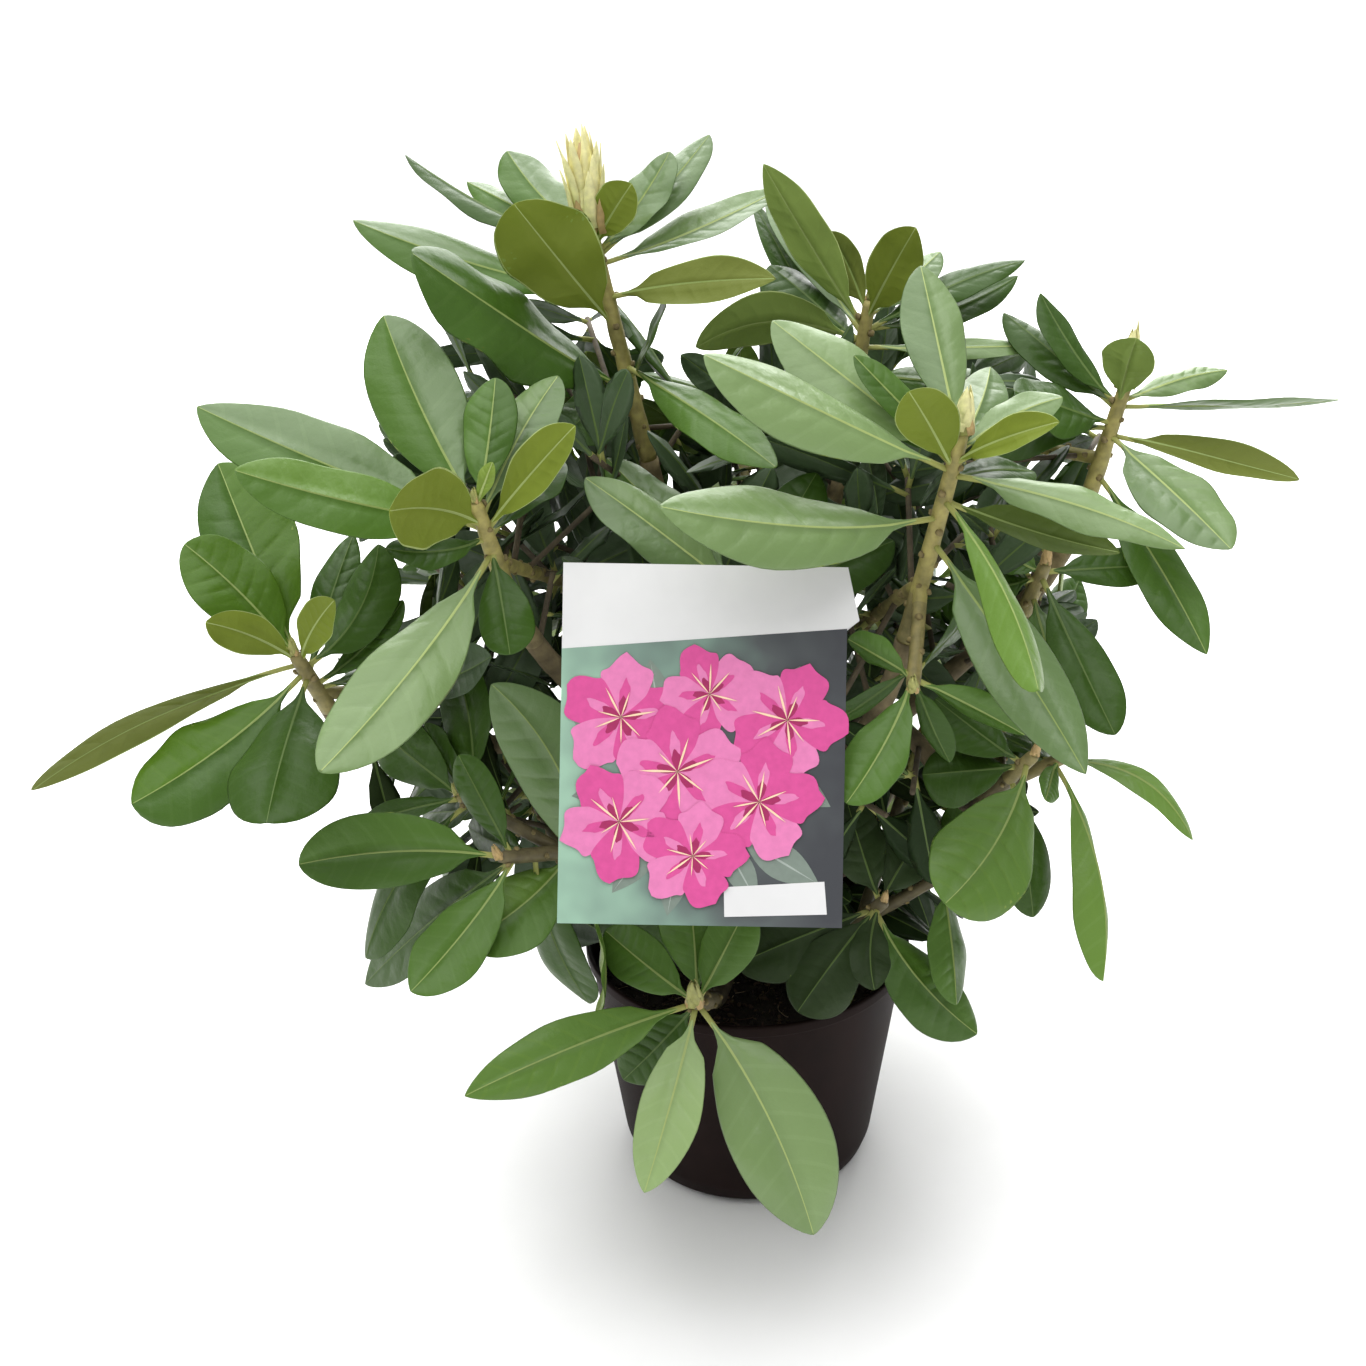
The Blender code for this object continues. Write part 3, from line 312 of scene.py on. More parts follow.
# Every look on the leaves: its red, green and blue in thousandths, its roughness and gloss in hundredths
LEAF_COLOURS = {
    "mid": (66, 140, 18, 42, 30), "mid_vein": (72, 148, 22, 43, 30),
    "plain": (84, 164, 25, 42, 30), "plain_vein": (91, 173, 25, 43, 30),
    "moss": (45, 103, 11, 42, 28), "moss_vein": (50, 109, 14, 43, 28),
    "deep": (33, 76, 8, 40, 22), "deep_vein": (37, 82, 11, 41, 22),
    "light": (110, 205, 30, 40, 35), "light_vein": (118, 216, 36, 41, 35),
    # grey, pale, whitish and fair carry a painted sheen: the sky's reflection on leaves that face up, mixed
    # into their colour on top of their gloss
    "grey": (102, 172, 55, 38, 50), "grey_vein": (110, 182, 61, 39, 50),
    "pale": (140, 220, 74, 38, 48), "pale_vein": (149, 231, 81, 39, 48),
    "whitish": (172, 260, 96, 38, 48), "whitish_vein": (182, 272, 104, 39, 48),
    "fair": (240, 345, 132, 44, 40), "fair_vein": (252, 358, 142, 45, 40),
    "fresh": (60, 130, 8, 40, 22), "fresh_vein": (67, 139, 11, 41, 22),
    "bright": (165, 245, 32, 46, 35), "bright_vein": (176, 259, 39, 47, 35),
    # dark, dusk and shade, with dull_dark beneath, are leaf greens in painted shade for leaves deep in the
    # crown; dull_olive and dull_rib are the underside and midrib darkened for the dark leaves, in painted
    # shade too
    "dark": (12, 27, 6, 48, 12), "dusk": (26, 46, 14, 44, 18), "shade": (46, 80, 32, 46, 30),
    "olive": (178, 252, 56, 60, 15), "dull_olive": (80, 120, 22, 60, 12),
    "brown_olive": (130, 158, 30, 60, 12), "young": (160, 208, 24, 58, 15),
    "dull_dark": (20, 34, 10, 60, 10), "rib": (240, 315, 90, 50, 30),
    "pale_rib": (350, 430, 150, 50, 30), "dull_rib": (95, 150, 38, 50, 25),
    "stalk": (300, 310, 90, 55, 25),
}
LEAF_SLOTS = {name: i for i, name in enumerate(LEAF_COLOURS)}

# Colours of the back shoots' leaves in turn
BACK_TINTS = "mgdplm"

# Sky seen through the crown, in pixels of the photograph: left, top, right and bottom
SKY_GAPS = (
    (960, 728, 1032, 775), (970, 295, 1010, 340), (995, 485, 1030, 520), (680, 200, 765, 260),
    (790, 190, 820, 295), (665, 295, 725, 345), (745, 325, 782, 360), (300, 650, 335, 700),
    (405, 785, 445, 825), (400, 898, 425, 915), (300, 300, 410, 420), (250, 500, 330, 600),
    (1080, 560, 1366, 960), (0, 0, 370, 380), (60, 780, 370, 1000), (880, 1000, 1366, 1366),
)

# How far the crown reaches in the view of the front, in thousandths of the distance, every 15 degrees
# from the right, anticlockwise: a leaf by rule that would be seen beyond it is skipped
SEEN_REACH = (
    240, 260, 275, 295, 280, 275, 210, 275, 280, 245, 290, 155,
    235, 175, 230, 235, 190, 135, 135, 175, 205, 230, 230, 235,
)

# Each front shoot: its foot, or the shoot that it branches from, the base of its end bud, the bud's
# length, the colour letters of its leaves, a capital for a folded leaf, and its leaves. A leaf is the
# clock direction of its tip from the bud in the view (degrees, from the right, anticlockwise), its seen
# length, its lean towards the viewer (degrees), its width, how far below the bud it grows, how far its
# middle bows to the left of its way out, and, where it isn't turned the usual way, how far its upper face
# is turned from the viewer (degrees). Lengths are millimetres.
FRONT_SHOOTS = {
    "right_front": ((0.083, -0.085, 0.382), (0.104, -0.110, 0.500), 23, "wpLwyywpmppdq", (
        (163, 128, 15, 36, 22, 2), (193, 145, 20, 40, 48, 8), (287, 127, 35, 20, 38, 5),
        (333, 120, 10, 22, 24, 3), (143, 32, 45, 25, 20, -2, 165), (4, 48, 45, 16, 18, 3, 150),
        (149, 105, -10, 36, 16, 0), (104, 82, -25, 27, 6, 0), (144, 63, 0, 16, 14, 0),
        (20, 51, -10, 19, 12, 3), (67, 35, -40, 22, 6, -3), (322, 95, -10, 22, 38, -3, 140),
        (290, 173, 10, 34, 62, 0),
    )),
    "upper_left": ((-0.121, -0.100, 0.420), (-0.129, -0.125, 0.472), 8, "glpygpybmdd", (
        (160, 142, 0, 40, 10, 6), (172, 116, 20, 31, 14, 3), (240, 149, 25, 37, 34, 2),
        (185, 42, 45, 34, 16, -4, 165), (116, 100, -20, 40, 8, 1), (57, 73, -25, 26, 12, 3),
        (37, 61, 25, 22, 20, 0, 150), (67, 21, 20, 8, 2, 0), (81, 61, -35, 24, 4, 0),
        (207, 48, 10, 18, 24, 3), (283, 75, -10, 24, 32, 0),
    )),
    "top": ((-0.053, 0.010, 0.452), (-0.079, 0.0, 0.580), 50, "yyugnmpgggdgddd", (
        (161, 42, 20, 44, 54, 0, 170), (46, 32, 30, 20, 10, 0, 170), (344, 101, 25, 24, 38, 4, 150),
        (177, 123, 0, 28, 34, 5), (187, 91, 10, 50, 92, 1, 45), (308, 157, 25, 26, 76, 2),
        (12, 102, -25, 22, 20, -2), (39, 79, -20, 24, 16, -3), (44, 57, -30, 24, 14, -3),
        (137, 59, -30, 26, 5, 4), (158, 103, -15, 20, 12, 6, 70), (159, 69, -40, 18, 10, 0),
        (314, 56, -20, 34, 86, 0), (262, 109, -20, 34, 84, 0), (218, 88, -20, 20, 104, 0),
    )),
    "far_left": ((-0.222, -0.085, 0.345), (-0.231, -0.105, 0.385), 10, "ufdffyyddd", (
        (206, 152, -5, 24, 8, -6, 125), (222, 114, 5, 44, 14, 6), (260, 87, 35, 48, 18, -2),
        (112, 106, -20, 44, 4, -1), (135, 80, -5, 34, 4, -4), (160, 49, 40, 20, 6, -4, 160),
        (53, 35, 35, 19, 8, 3, 150), (53, 71, -15, 28, 12, -10), (64, 69, -35, 20, 18, 0),
        (27, 62, 0, 16, 26, -4),
    )),
    "top_right": ((0.053, 0.030, 0.433), (0.069, 0.030, 0.534), 10, "oyouddpdppdm", (
        (128, 94, 0, 24, 16, 0, 150), (57, 48, 30, 26, 12, 0, 165), (194, 99, 5, 32, 24, -13, 140),
        (120, 43, -15, 18, 8, -2, 150), (159, 58, -10, 34, 24, 0), (16, 88, -15, 20, 18, 3),
        (133, 81, -30, 20, 20, 0), (11, 83, -30, 20, 16, -6), (36, 47, -25, 20, 10, 0),
        (347, 103, -10, 13, 26, 0), (138, 84, -30, 18, 44, 0), (330, 92, -30, 32, 40, 0),
    )),
    "far_right": ((0.190, 0.0, 0.435), (0.204, 0.0, 0.493), 34, "ogpudddpmd", (
        (77, 27, 45, 24, 10, 0, 170), (355, 115, 0, 22, 12, 0, 74), (303, 104, 30, 36, 28, 2),
        (330, 106, 5, 24, 28, 2, 130), (132, 67, -10, 20, 12, 2), (148, 76, -25, 26, 14, 0),
        (182, 59, 10, 40, 22, 0), (10, 56, -20, 15, 10, 2), (287, 150, 15, 28, 50, 2),
        (196, 88, -15, 34, 24, 0),
    )),
    "right_mid": ((0.153, -0.030, 0.376), (0.159, -0.050, 0.411), 12, "ddgmd", (
        (292, 98, 20, 28, 10, 1), (359, 63, -10, 20, 8, 0), (276, 71, 0, 24, 26, 0),
        (165, 25, -20, 18, 8, 0), (200, 60, -20, 28, 12, 0),
    )),
    "right_small": ("right_front", (0.083, -0.130, 0.374), 12, "mmmd", (
        (239, 65, 15, 27, 8, 3, 20), (143, 41, -10, 18, 6, 0), (338, 60, -10, 18, 6, 0),
        (51, 57, -20, 26, 8, 0),
    )),
    "right_low": ((0.131, -0.070, 0.280), (0.151, -0.100, 0.323), 10, "adddd", (
        (239, 91, 25, 46, 8, 6), (270, 86, -20, 24, 26, 0), (150, 60, -20, 30, 12, 0),
        (190, 60, -25, 30, 14, 0), (60, 40, -25, 24, 8, 0),
    )),
    "right_hang": ("right_low", (0.172, -0.080, 0.312), 8, "Llmd", (
        (280, 123, 10, 26, 8, 9), (327, 82, 5, 20, 8, 14), (245, 26, 45, 14, 6, 0),
        (160, 45, -30, 24, 8, 0),
    )),
    "lower_left": ((-0.085, -0.095, 0.264), (-0.129, -0.130, 0.279), 10, "mmlddd", (
        (182, 106, 0, 35, 4, -4), (236, 84, 15, 34, 10, 4), (247, 47, 20, 42, 46, 4),
        (112, 58, -10, 22, 8, 0), (301, 90, -30, 34, 22, -5), (223, 97, -40, 34, 14, -2),
    )),
    "low_left": ("lower_left", (-0.086, -0.112, 0.242), 8, "qld", (
        (114, 128, 0, 38, 6, -12), (276, 69, 10, 36, 4, 7), (320, 50, -20, 28, 12, 0),
    )),
    "left_node": ("lower_left", (-0.153, -0.105, 0.303), 8, "dddd", (
        (198, 60, 0, 18, 4, -3), (140, 62, -25, 28, 4, 0), (94, 79, -25, 34, 8, -5),
        (240, 100, -20, 36, 8, -8),
    )),
    "front_low": ((-0.019, -0.080, 0.155), (-0.028, -0.140, 0.195), 20, "wvammmd", (
        (297, 141, 5, 48, 6, 7), (255, 106, 10, 29, 6, 0), (202, 133, 10, 28, 6, -2),
        (141, 62, -15, 26, 6, 0), (93, 61, -10, 32, 8, 0), (62, 60, -10, 26, 6, 0),
        (227, 57, -30, 30, 10, 0),
    )),
    "pot_right": ((0.060, -0.060, 0.190), (0.076, -0.090, 0.228), 8, "xxxmxx", (
        (264, 49, 30, 20, 8, -4), (232, 78, 0, 34, 10, 0), (203, 90, -5, 36, 14, 0),
        (305, 90, -15, 32, 14, -6), (60, 55, -20, 30, 8, 0), (110, 60, -20, 30, 6, 0),
    )),
    "low_right": ("pot_right", (0.115, -0.070, 0.236), 8, "mdd", (
        (273, 76, 10, 28, 6, 0), (345, 40, -10, 24, 8, 0), (70, 40, -20, 24, 8, 0),
    )),
    "centre": ((-0.005, -0.060, 0.337), (0.002, -0.085, 0.410), 8, "pgdddd", (
        (145, 102, 0, 30, 6, 0), (136, 101, -15, 28, 6, 0), (60, 70, -20, 28, 8, 0),
        (20, 80, -20, 30, 10, 0), (210, 80, -15, 30, 14, 0), (300, 70, -30, 34, 12, 0),
    )),
}

# Shoots inside the crown, whose leaves follow the rule: what each branches from, the base of its end
# bud, and leaf length
INNER_SHOOTS = {
    "inner_top": ("top_right", (0.005, 0.080, 0.460), 0.085),
    "inner_left": ("top", (-0.125, 0.030, 0.450), 0.085),
    "inner_right": ("far_right", (0.150, 0.045, 0.450), 0.085),
    "inner_side": ("right_low", (0.150, 0.020, 0.325), 0.080),
    "inner_back": ("top_right", (0.088, 0.048, 0.445), 0.080),
    "inner_middle": ("right_front", (0.066, 0.000, 0.355), 0.080),
    "inner_middle_left": ("upper_left", (-0.098, 0.006, 0.380), 0.085),
    "inner_low_side": ("lower_left", (-0.129, 0.000, 0.250), 0.085),
    "inner_low_right": ("pot_right", (0.096, -0.012, 0.268), 0.080),
    "inner_low_left": ("far_left", (-0.170, -0.020, 0.325), 0.085),
}

# Each row of back shoots: how many, reach from the trunk, height, first and last azimuth, leaf length
BACK_ROWS = {
    "back_upper": (3, 0.125, 0.420, 40, 140, 0.120),
    "back_middle": (5, 0.190, 0.320, 10, 170, 0.120),
    "back_low": (3, 0.150, 0.225, 40, 140, 0.110),
}
BACK_MIDDLE = Vector((0.0, 0.020, 0.0))
BACK_TWIG_LENGTH = 0.060
BACK_TWIG_RISE = radians(48)

# Each bough: what it grows from, how far along that, and its radius at each end in tenths of a millimetre
BOUGHS = {
    "upper_left": ("trunk", 0.95, 74, 52),
    "right_front": ("trunk", 0.95, 78, 54),
    "top": ("trunk", 0.95, 76, 54),
    "back_middle_3": ("trunk", 0.80, 62, 48),
    "front_low": ("trunk", 0.55, 58, 48),
    "far_left": ("upper_left", 0.45, 62, 48),
    "lower_left": ("upper_left", 0.22, 60, 48),
    "centre": ("right_front", 0.22, 48, 36),
    "top_right": ("top", 0.35, 64, 48),
    "far_right": ("right_front", 0.42, 62, 48),
    "right_mid": ("far_right", 0.55, 56, 48),
    "right_low": ("far_right", 0.25, 56, 48),
    "pot_right": ("right_front", 0.10, 56, 48),
    "back_upper_1": ("top_right", 0.30, 58, 48),
    "back_upper_2": ("back_middle_3", 0.45, 58, 48),
    "back_upper_3": ("top", 0.55, 58, 48),
    "back_middle_1": ("far_right", 0.38, 58, 48),
    "back_middle_2": ("back_middle_3", 0.25, 60, 48),
    "back_middle_4": ("back_middle_3", 0.35, 60, 48),
    "back_middle_5": ("upper_left", 0.33, 60, 48),
    "back_low_1": ("back_middle_2", 0.30, 56, 48),
    "back_low_2": ("back_middle_3", 0.12, 56, 48),
    "back_low_3": ("back_middle_4", 0.30, 56, 48),
}

# Small helpers

def blend(first, last, share):
    return first + (last - first) * share


def turned_out(way, angle):
    """A direction square to a way, turned round it by an angle."""
    return Matrix.Rotation(angle, 3, way) @ way.orthogonal().normalized()


def straight(start, end, steps):
    """Points from a start to an end, evenly spaced."""
    return [start.lerp(end, i / steps) for i in range(steps + 1)]


def add_to_scene(name, data):
    obj = bpy.data.objects.new(name, data)
    bpy.context.scene.collection.objects.link(obj)
    return obj


def tree_of(shape):
    return BVHTree.FromPolygons(*shape)


# Materials

def shader_of(name):
    """A new material, its node tree and its Principled shader."""
    made = bpy.data.materials.new(name)
    made.use_nodes = True
    return made, made.node_tree, made.node_tree.nodes["Principled BSDF"]


def set_inputs(tree, node, values):
    """Gives each input its constant, or a link from another node's output."""
    for name, value in values.items():
        if isinstance(value, bpy.types.NodeSocket):
            tree.links.new(value, node.inputs[name])
        else:
            node.inputs[name].default_value = value
    return node


def noise_of(tree, scale, detail):
    """A noise over the object's own coordinates, scaled in waves a metre."""
    place = tree.nodes.new("ShaderNodeTexCoord").outputs["Object"]
    pattern = tree.nodes.new("ShaderNodeTexNoise")
    return set_inputs(tree, pattern, {"Vector": place, "Scale": scale, "Detail": detail}).outputs["Fac"]


def ramp_of(tree, source, stops):
    """A source turned into colours by stops of place and colour."""
    ramp = tree.nodes.new("ShaderNodeValToRGB")
    while len(ramp.color_ramp.elements) < len(stops):
        ramp.color_ramp.elements.new(0.5)
    for element, (place, colour) in zip(ramp.color_ramp.elements, stops):
        element.position = place
        element.color = (*colour, 1.0)
    return set_inputs(tree, ramp, {"Fac": source}).outputs["Color"]


def range_of(tree, source, least, greatest):
    """A source of 0 to 1 spread between two values."""
    spread = tree.nodes.new("ShaderNodeMapRange")
    values = {"Value": source, "To Min": least, "To Max": greatest}
    return set_inputs(tree, spread, values).outputs["Result"]


def bump_of(tree, height, strength, distance, below=None):
    """A bump from a height, over another bump where there is one."""
    values = {"Height": height, "Strength": strength, "Distance": distance}
    if below:
        values["Normal"] = below
    return set_inputs(tree, tree.nodes.new("ShaderNodeBump"), values).outputs["Normal"]


def surface(name, colour, roughness, mottle=0.12, mottle_scale=90, grain=0.15, grain_scale=1800):
    """A finish with a soft mottle in its colour, uneven gloss and a fine grain."""
    made, tree, shader = shader_of(name)
    spots = noise_of(tree, mottle_scale, 4.0)
    shades = ((0.3, 1 - mottle), (0.7, 1 + mottle))
    stops = [(place, [c * share for c in colour]) for place, share in shades]
    set_inputs(tree, shader, {
        "Base Color": ramp_of(tree, spots, stops),
        "Roughness": range_of(tree, spots, roughness - 0.07, roughness + 0.07),
        "Normal": bump_of(tree, noise_of(tree, grain_scale, 2.0), grain, 0.0004),
    })
    return made


def leaf_surface(name, red, green, blue, roughness, gloss):
    """A leaf's finish: a plain colour under an uneven gloss, soft dents and a fine grain."""
    made, tree, shader = shader_of(name)
    roughness = roughness / 100
    dents = bump_of(tree, noise_of(tree, 110, 2.0), 0.45, 0.0016)
    set_inputs(tree, shader, {
        "Base Color": (red / 1000, green / 1000, blue / 1000, 1.0),
        "Specular IOR Level": gloss / 100,
        "Roughness": range_of(tree, noise_of(tree, 70, 3.0), roughness - 0.12, roughness + 0.12),
        "Normal": bump_of(tree, noise_of(tree, 900, 3.0), 0.25, 0.0004, dents),
    })
    return made


# Meshes made from arrays

class Pile:
    """Many closed shapes gathered into one mesh: points, four-sided and three-sided faces, and slots."""

    def __init__(self):
        self.shapes = []
        self.count = 0

    def add(self, points, quads, quad_slots, tris, tri_slots):
        self.shapes.append((points, quads + self.count, quad_slots, tris + self.count, tri_slots))
        self.count += len(points)

    def triangles(self):
        return sum(2 * len(quads) + len(tris) for _, quads, _, tris, _ in self.shapes)

    def build(self, name, looks):
        points, quads, quad_slots, tris, tri_slots = (np.concatenate(part) for part in zip(*self.shapes))
        starts = [4 * np.arange(len(quads)), quads.size + 3 * np.arange(len(tris))]
        mesh = bpy.data.meshes.new(name)
        mesh.vertices.add(len(points))
        mesh.loops.add(quads.size + tris.size)
        mesh.polygons.add(len(quads) + len(tris))
        mesh.vertices.foreach_set("co", points.astype(np.float32).ravel())
        for parts, key, values in (
            (mesh.loops, "vertex_index", [quads.ravel(), tris.ravel()]),
            (mesh.polygons, "loop_start", starts),
            (mesh.polygons, "material_index", [quad_slots, tri_slots]),
        ):
            parts.foreach_set(key, np.concatenate(values).astype(np.int32))
        mesh.update(calc_edges=True)
        mesh.shade_smooth()
        for look in looks:
            mesh.materials.append(look)
        return add_to_scene(name, mesh)


def tube_faces(rings, sides):
    """Faces of a closed tube: rings of points, then a middle point for each end."""
    across = np.arange(sides)
    beside = (across + 1) % sides
    first = (np.arange(rings - 1) * sides)[:, None]
    quads = np.stack([first + across, first + beside, first + sides + beside, first + sides + across], -1)
    last = (rings - 1) * sides
    start_cap = np.stack([np.full(sides, rings * sides), beside, across], -1)
    end_cap = np.stack([np.full(sides, rings * sides + 1), last + across, last + beside], -1)
    return quads.reshape(-1, 4), np.concatenate([start_cap, end_cap])


def add_tube(pile, rings, slot=0):
    """A closed tube through rings of points, an array of (rings, sides, 3), with its ends filled.

    Its look is one slot, or a slot for each stretch between two rings."""
    count, sides, _ = rings.shape
    quads, tris = tube_faces(count, sides)
    points = np.concatenate([rings.reshape(-1, 3), [rings[0].mean(0)], [rings[-1].mean(0)]])
    slots = np.broadcast_to(slot, count - 1)
    pile.add(points, quads, np.repeat(slots, sides), tris, np.repeat(slots[[0, -1]], sides))


def rings_along(path, radii, sides, relief=0.0):
    """Rings of a round limb along a path, roughened by noise."""
    across = (path[1] - path[0]).normalized().orthogonal().normalized()
    rings = np.zeros((len(path), sides, 3))
    for i, (place, radius) in enumerate(zip(path, radii)):
        way = (path[min(i + 1, len(path) - 1)] - path[max(i - 1, 0)]).normalized()
        across = (across - way * across.dot(way)).normalized()
        beside = way.cross(across)
        for j in range(sides):
            angle = tau * j / sides
            out = across * cos(angle) + beside * sin(angle)
            rough = noise.noise((place * 0.35 + out * radius) * BARK_SCALE) if relief else 0.0
            rings[i, j] = place + out * radius * (1 + relief * rough)
    return rings


def finish_piece(piece, stands_for=()):
    """Makes a piece part of the object, and hides the solids it stands for."""
    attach(piece, "root")
    if stands_for:
        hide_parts(*stands_for)


# Limbs

def along(path, share):
    """The point at a share of a path's length, and the path's direction there."""
    lengths = [(b - a).length for a, b in zip(path, path[1:])]
    left = share * sum(lengths)
    for a, b, length in zip(path, path[1:], lengths):
        if left <= length:
            return a.lerp(b, left / length), (b - a).normalized()
        left -= length
    return path[-1].copy(), (path[-1] - path[-2]).normalized()


def trunk_path(points):
    """The trunk's path and radii: it leans a little and flares at its foot."""
    shares = [(i / (points - 1)) ** TRUNK_CROWDING for i in range(points)]
    path = [TRUNK_FOOT + TRUNK_LEAN * share * share + UP * (TRUNK_HEIGHT * share) for share in shares]
    flares = [exp(-TRUNK_HEIGHT * share / TRUNK_FLARE_HEIGHT) for share in shares]
    return path, [blend(TRUNK_TOP_RADIUS, TRUNK_FOOT_RADIUS, flare) for flare in flares]


def bough_path(start, first_way, end, last_way, points):
    """A smooth limb from its start to its end that leaves and arrives along the given ways."""
    reach = (end - start).length / 3
    a, b, d = start, start + first_way * reach, end - last_way * BOUGH_END_LENGTH
    c = d - last_way * reach
    path = []
    for i in range(points):
        t = i / (points - 1)
        s = 1 - t
        path.append(a * s**3 + b * 3 * s * s * t + c * 3 * s * t * t + d * t**3)
    return [*path, end]


def limb_paths(shoots):
    """The trunk's and every bough's path and radii, in short steps."""
    coarse = {"trunk": trunk_path(BOUGH_POINTS)[0]}
    limbs = {"trunk": trunk_path(TRUNK_POINTS)}
    for name, (parent, share, *radii) in BOUGHS.items():
        start, way = along(coarse[parent], share)
        _, end, _, last_way, *_ = shoots[name]
        first_way = (way + (end - start).normalized() * BOUGH_AIM).normalized()
        coarse[name] = bough_path(start, first_way, end, last_way, BOUGH_POINTS)
        points = max(8, int((end - start).length / FINE_STEP))
        path = bough_path(start, first_way, end, last_way, points)
        limbs[name] = (path, [blend(*radii, i / points) / 10000 for i in range(points + 1)])
    return limbs


def add_aged_and_shaded_limb(pile, path, radii, heights):
    """A limb with bark relief, whose look changes with its height: darker low down, for older bark and for
    painted shade.
    """
    rings = rings_along(path, radii, LIMB_SIDES, BARK_RELIEF)
    add_tube(pile, rings, np.searchsorted(heights, rings[:-1, :, 2].mean(axis=1)))


def add_limbs(limbs, fill):
    """The trunk and boughs with their bark, and the short twigs inside the crown."""
    # Bark darkens low down: older bark, and painted shade under the crown
    colours = {
        "old_bark_and_painted_shade": (0.078, 0.060, 0.034),
        "ageing_bark_and_painted_shade": (0.135, 0.105, 0.052),
        "bark": (0.190, 0.150, 0.068),
    }
    pile = Pile()
    for path, radii in limbs.values():
        add_aged_and_shaded_limb(pile, path, radii, BARK_HEIGHTS)
    for foot, bud, _ in fill:
        add_tube(pile, rings_along(straight(foot, bud, 5), [FILL_TWIG_RADIUS] * 6, 8, BARK_RELIEF))
    looks = [surface(name, colour, 0.80, 0.35, 140, 0.7, 800) for name, colour in colours.items()]
    stands_for = ["trunk", *(f"bough_{name}" for name in BOUGHS)]
    finish_piece(pile.build("trunk_and_boughs", looks), stands_for)


def add_twigs(shoots):
    """The twigs, with the scars of fallen leaves winding up them."""
    # Twig skin darkens low down: older skin, and painted shade under the crown
    colours = {
        "old_skin_and_painted_shade": (0.105, 0.086, 0.038),
        "ageing_skin_and_painted_shade": (0.205, 0.172, 0.060),
        "skin": (0.290, 0.250, 0.074),
    }
    looks = [surface(name, colour, 0.60, 0.30, 180, 0.5, 1100) for name, colour in colours.items()]
    looks.append(surface("leaf_scar", (0.180, 0.140, 0.052), 0.75, 0.30, 400, 0.5, 1500))
    scar = len(looks) - 1
    pile = Pile()
    chance = random.Random(SEED + 6)
    for _, foot, bud, way, radius, _ in shoots.values():
        steps = max(6, int((bud - foot).length / FINE_STEP))
        radii = [blend(radius, TWIG_TOP_RADIUS, i / steps) for i in range(steps + 1)]
        radii[-1] *= 0.7
        add_aged_and_shaded_limb(pile, straight(foot, bud, steps), radii, SKIN_HEIGHTS)
        for i in range(int((bud - foot).length / STUB_SPACING)):
            out = turned_out(way, GOLDEN_TURN * i)
            seat = bud - way * STUB_SPACING * (i + chance.uniform(*STUB_SHIFT))
            reach = radius * 0.80
            lift = chance.uniform(*STUB_LIFT)
            tip = seat + (out + way * 0.3) * (reach + lift * 1.7)
            size = chance.uniform(*STUB_SIZE)
            stub = [seat + out * reach, seat + out * (reach + lift), tip]
            add_tube(pile, rings_along(stub, [r * size for r in STUB_RADII], 8), scar)
    finish_piece(pile.build("twigs", looks))


# Leaves and the rule that places them

def view_axes():
    """Right, up and forward of the view of the plant's front."""
    level = cos(VIEW_PITCH)
    forward = Vector((sin(VIEW_YAW) * level, cos(VIEW_YAW) * level, -sin(VIEW_PITCH)))
    right = Vector((cos(VIEW_YAW), -sin(VIEW_YAW), 0.0))
    right = Matrix.Rotation(VIEW_ROLL, 3, -forward) @ right
    return right, right.cross(forward), forward


VIEW_RIGHT, VIEW_UP, VIEW_FORWARD = view_axes()


def seen_from_front(point):
    """How far to the right and up a point is seen from the front, as shares of its distance."""
    sight = point - VIEW_POINT
    depth = sight.dot(VIEW_FORWARD)
    return sight.dot(VIEW_RIGHT) / depth, sight.dot(VIEW_UP) / depth


def within_seen_reach(point):
    """Whether the point is seen inside the crown from the front."""
    across, rise = seen_from_front(point)
    place = atan2(rise, across) / tau % 1 * len(SEEN_REACH)
    first = int(place)
    reach, after = SEEN_REACH[first], SEEN_REACH[(first + 1) % len(SEEN_REACH)]
    return hypot(across, rise) * 1000 < blend(reach, after, place - first)


def over_sky(point, margin):
    """Whether a point is seen over sky, or within a margin of it in pixels."""
    across, rise = seen_from_front(point)
    x, y = FRAME_MIDDLE + across * FOCAL_PIXELS, FRAME_MIDDLE - rise * FOCAL_PIXELS
    return any(left - margin < x < right + margin and top - margin < y < bottom + margin
               for left, top, right, bottom in SKY_GAPS)


def half_width_share(t):
    """The leaf's half width along its length, as a share of its greatest."""
    s = (t - LEAF_STALK_SHARE) / (1 - LEAF_STALK_SHARE)
    if s <= 0 or s >= 1:
        return 0.0
    widest = LEAF_SHOULDER / (LEAF_SHOULDER + LEAF_BLUNTNESS)
    return (s / widest) ** LEAF_SHOULDER * ((1 - s) / (1 - widest)) ** LEAF_BLUNTNESS


def leaf_solid(leaf, stations, thickness, start=0.0):
    """Points and triangles of a plain leaf, to test what it touches."""
    root, tip, normal, width, bow = leaf
    chord = tip - root
    points = []
    for t in (start, *stations):
        middle = root + chord * t + bow * 4 * t * (1 - t)
        way = (chord + bow * 4 * (1 - 2 * t)).normalized()
        side = way.cross(normal).normalized()
        up = side.cross(way)
        half = max(half_width_share(t) * width / 2, LEAF_STALK_HALF_WIDTH)
        drop = up * max(LEAF_EDGE_DROP * half, thickness / 2)
        points += [middle + side * half - drop, middle + up * thickness / 2, middle - side * half - drop]
    last = 3 * len(stations)
    faces = [(0, 1, 2)]
    for a in range(last):
        b = a - a % 3 + (a + 1) % 3
        faces += [(a, a + 3, b), (b, a + 3, b + 3)]
    faces += [(last + i, last + 3, last + (i + 1) % 3) for i in range(3)]
    return [*points, tip], faces


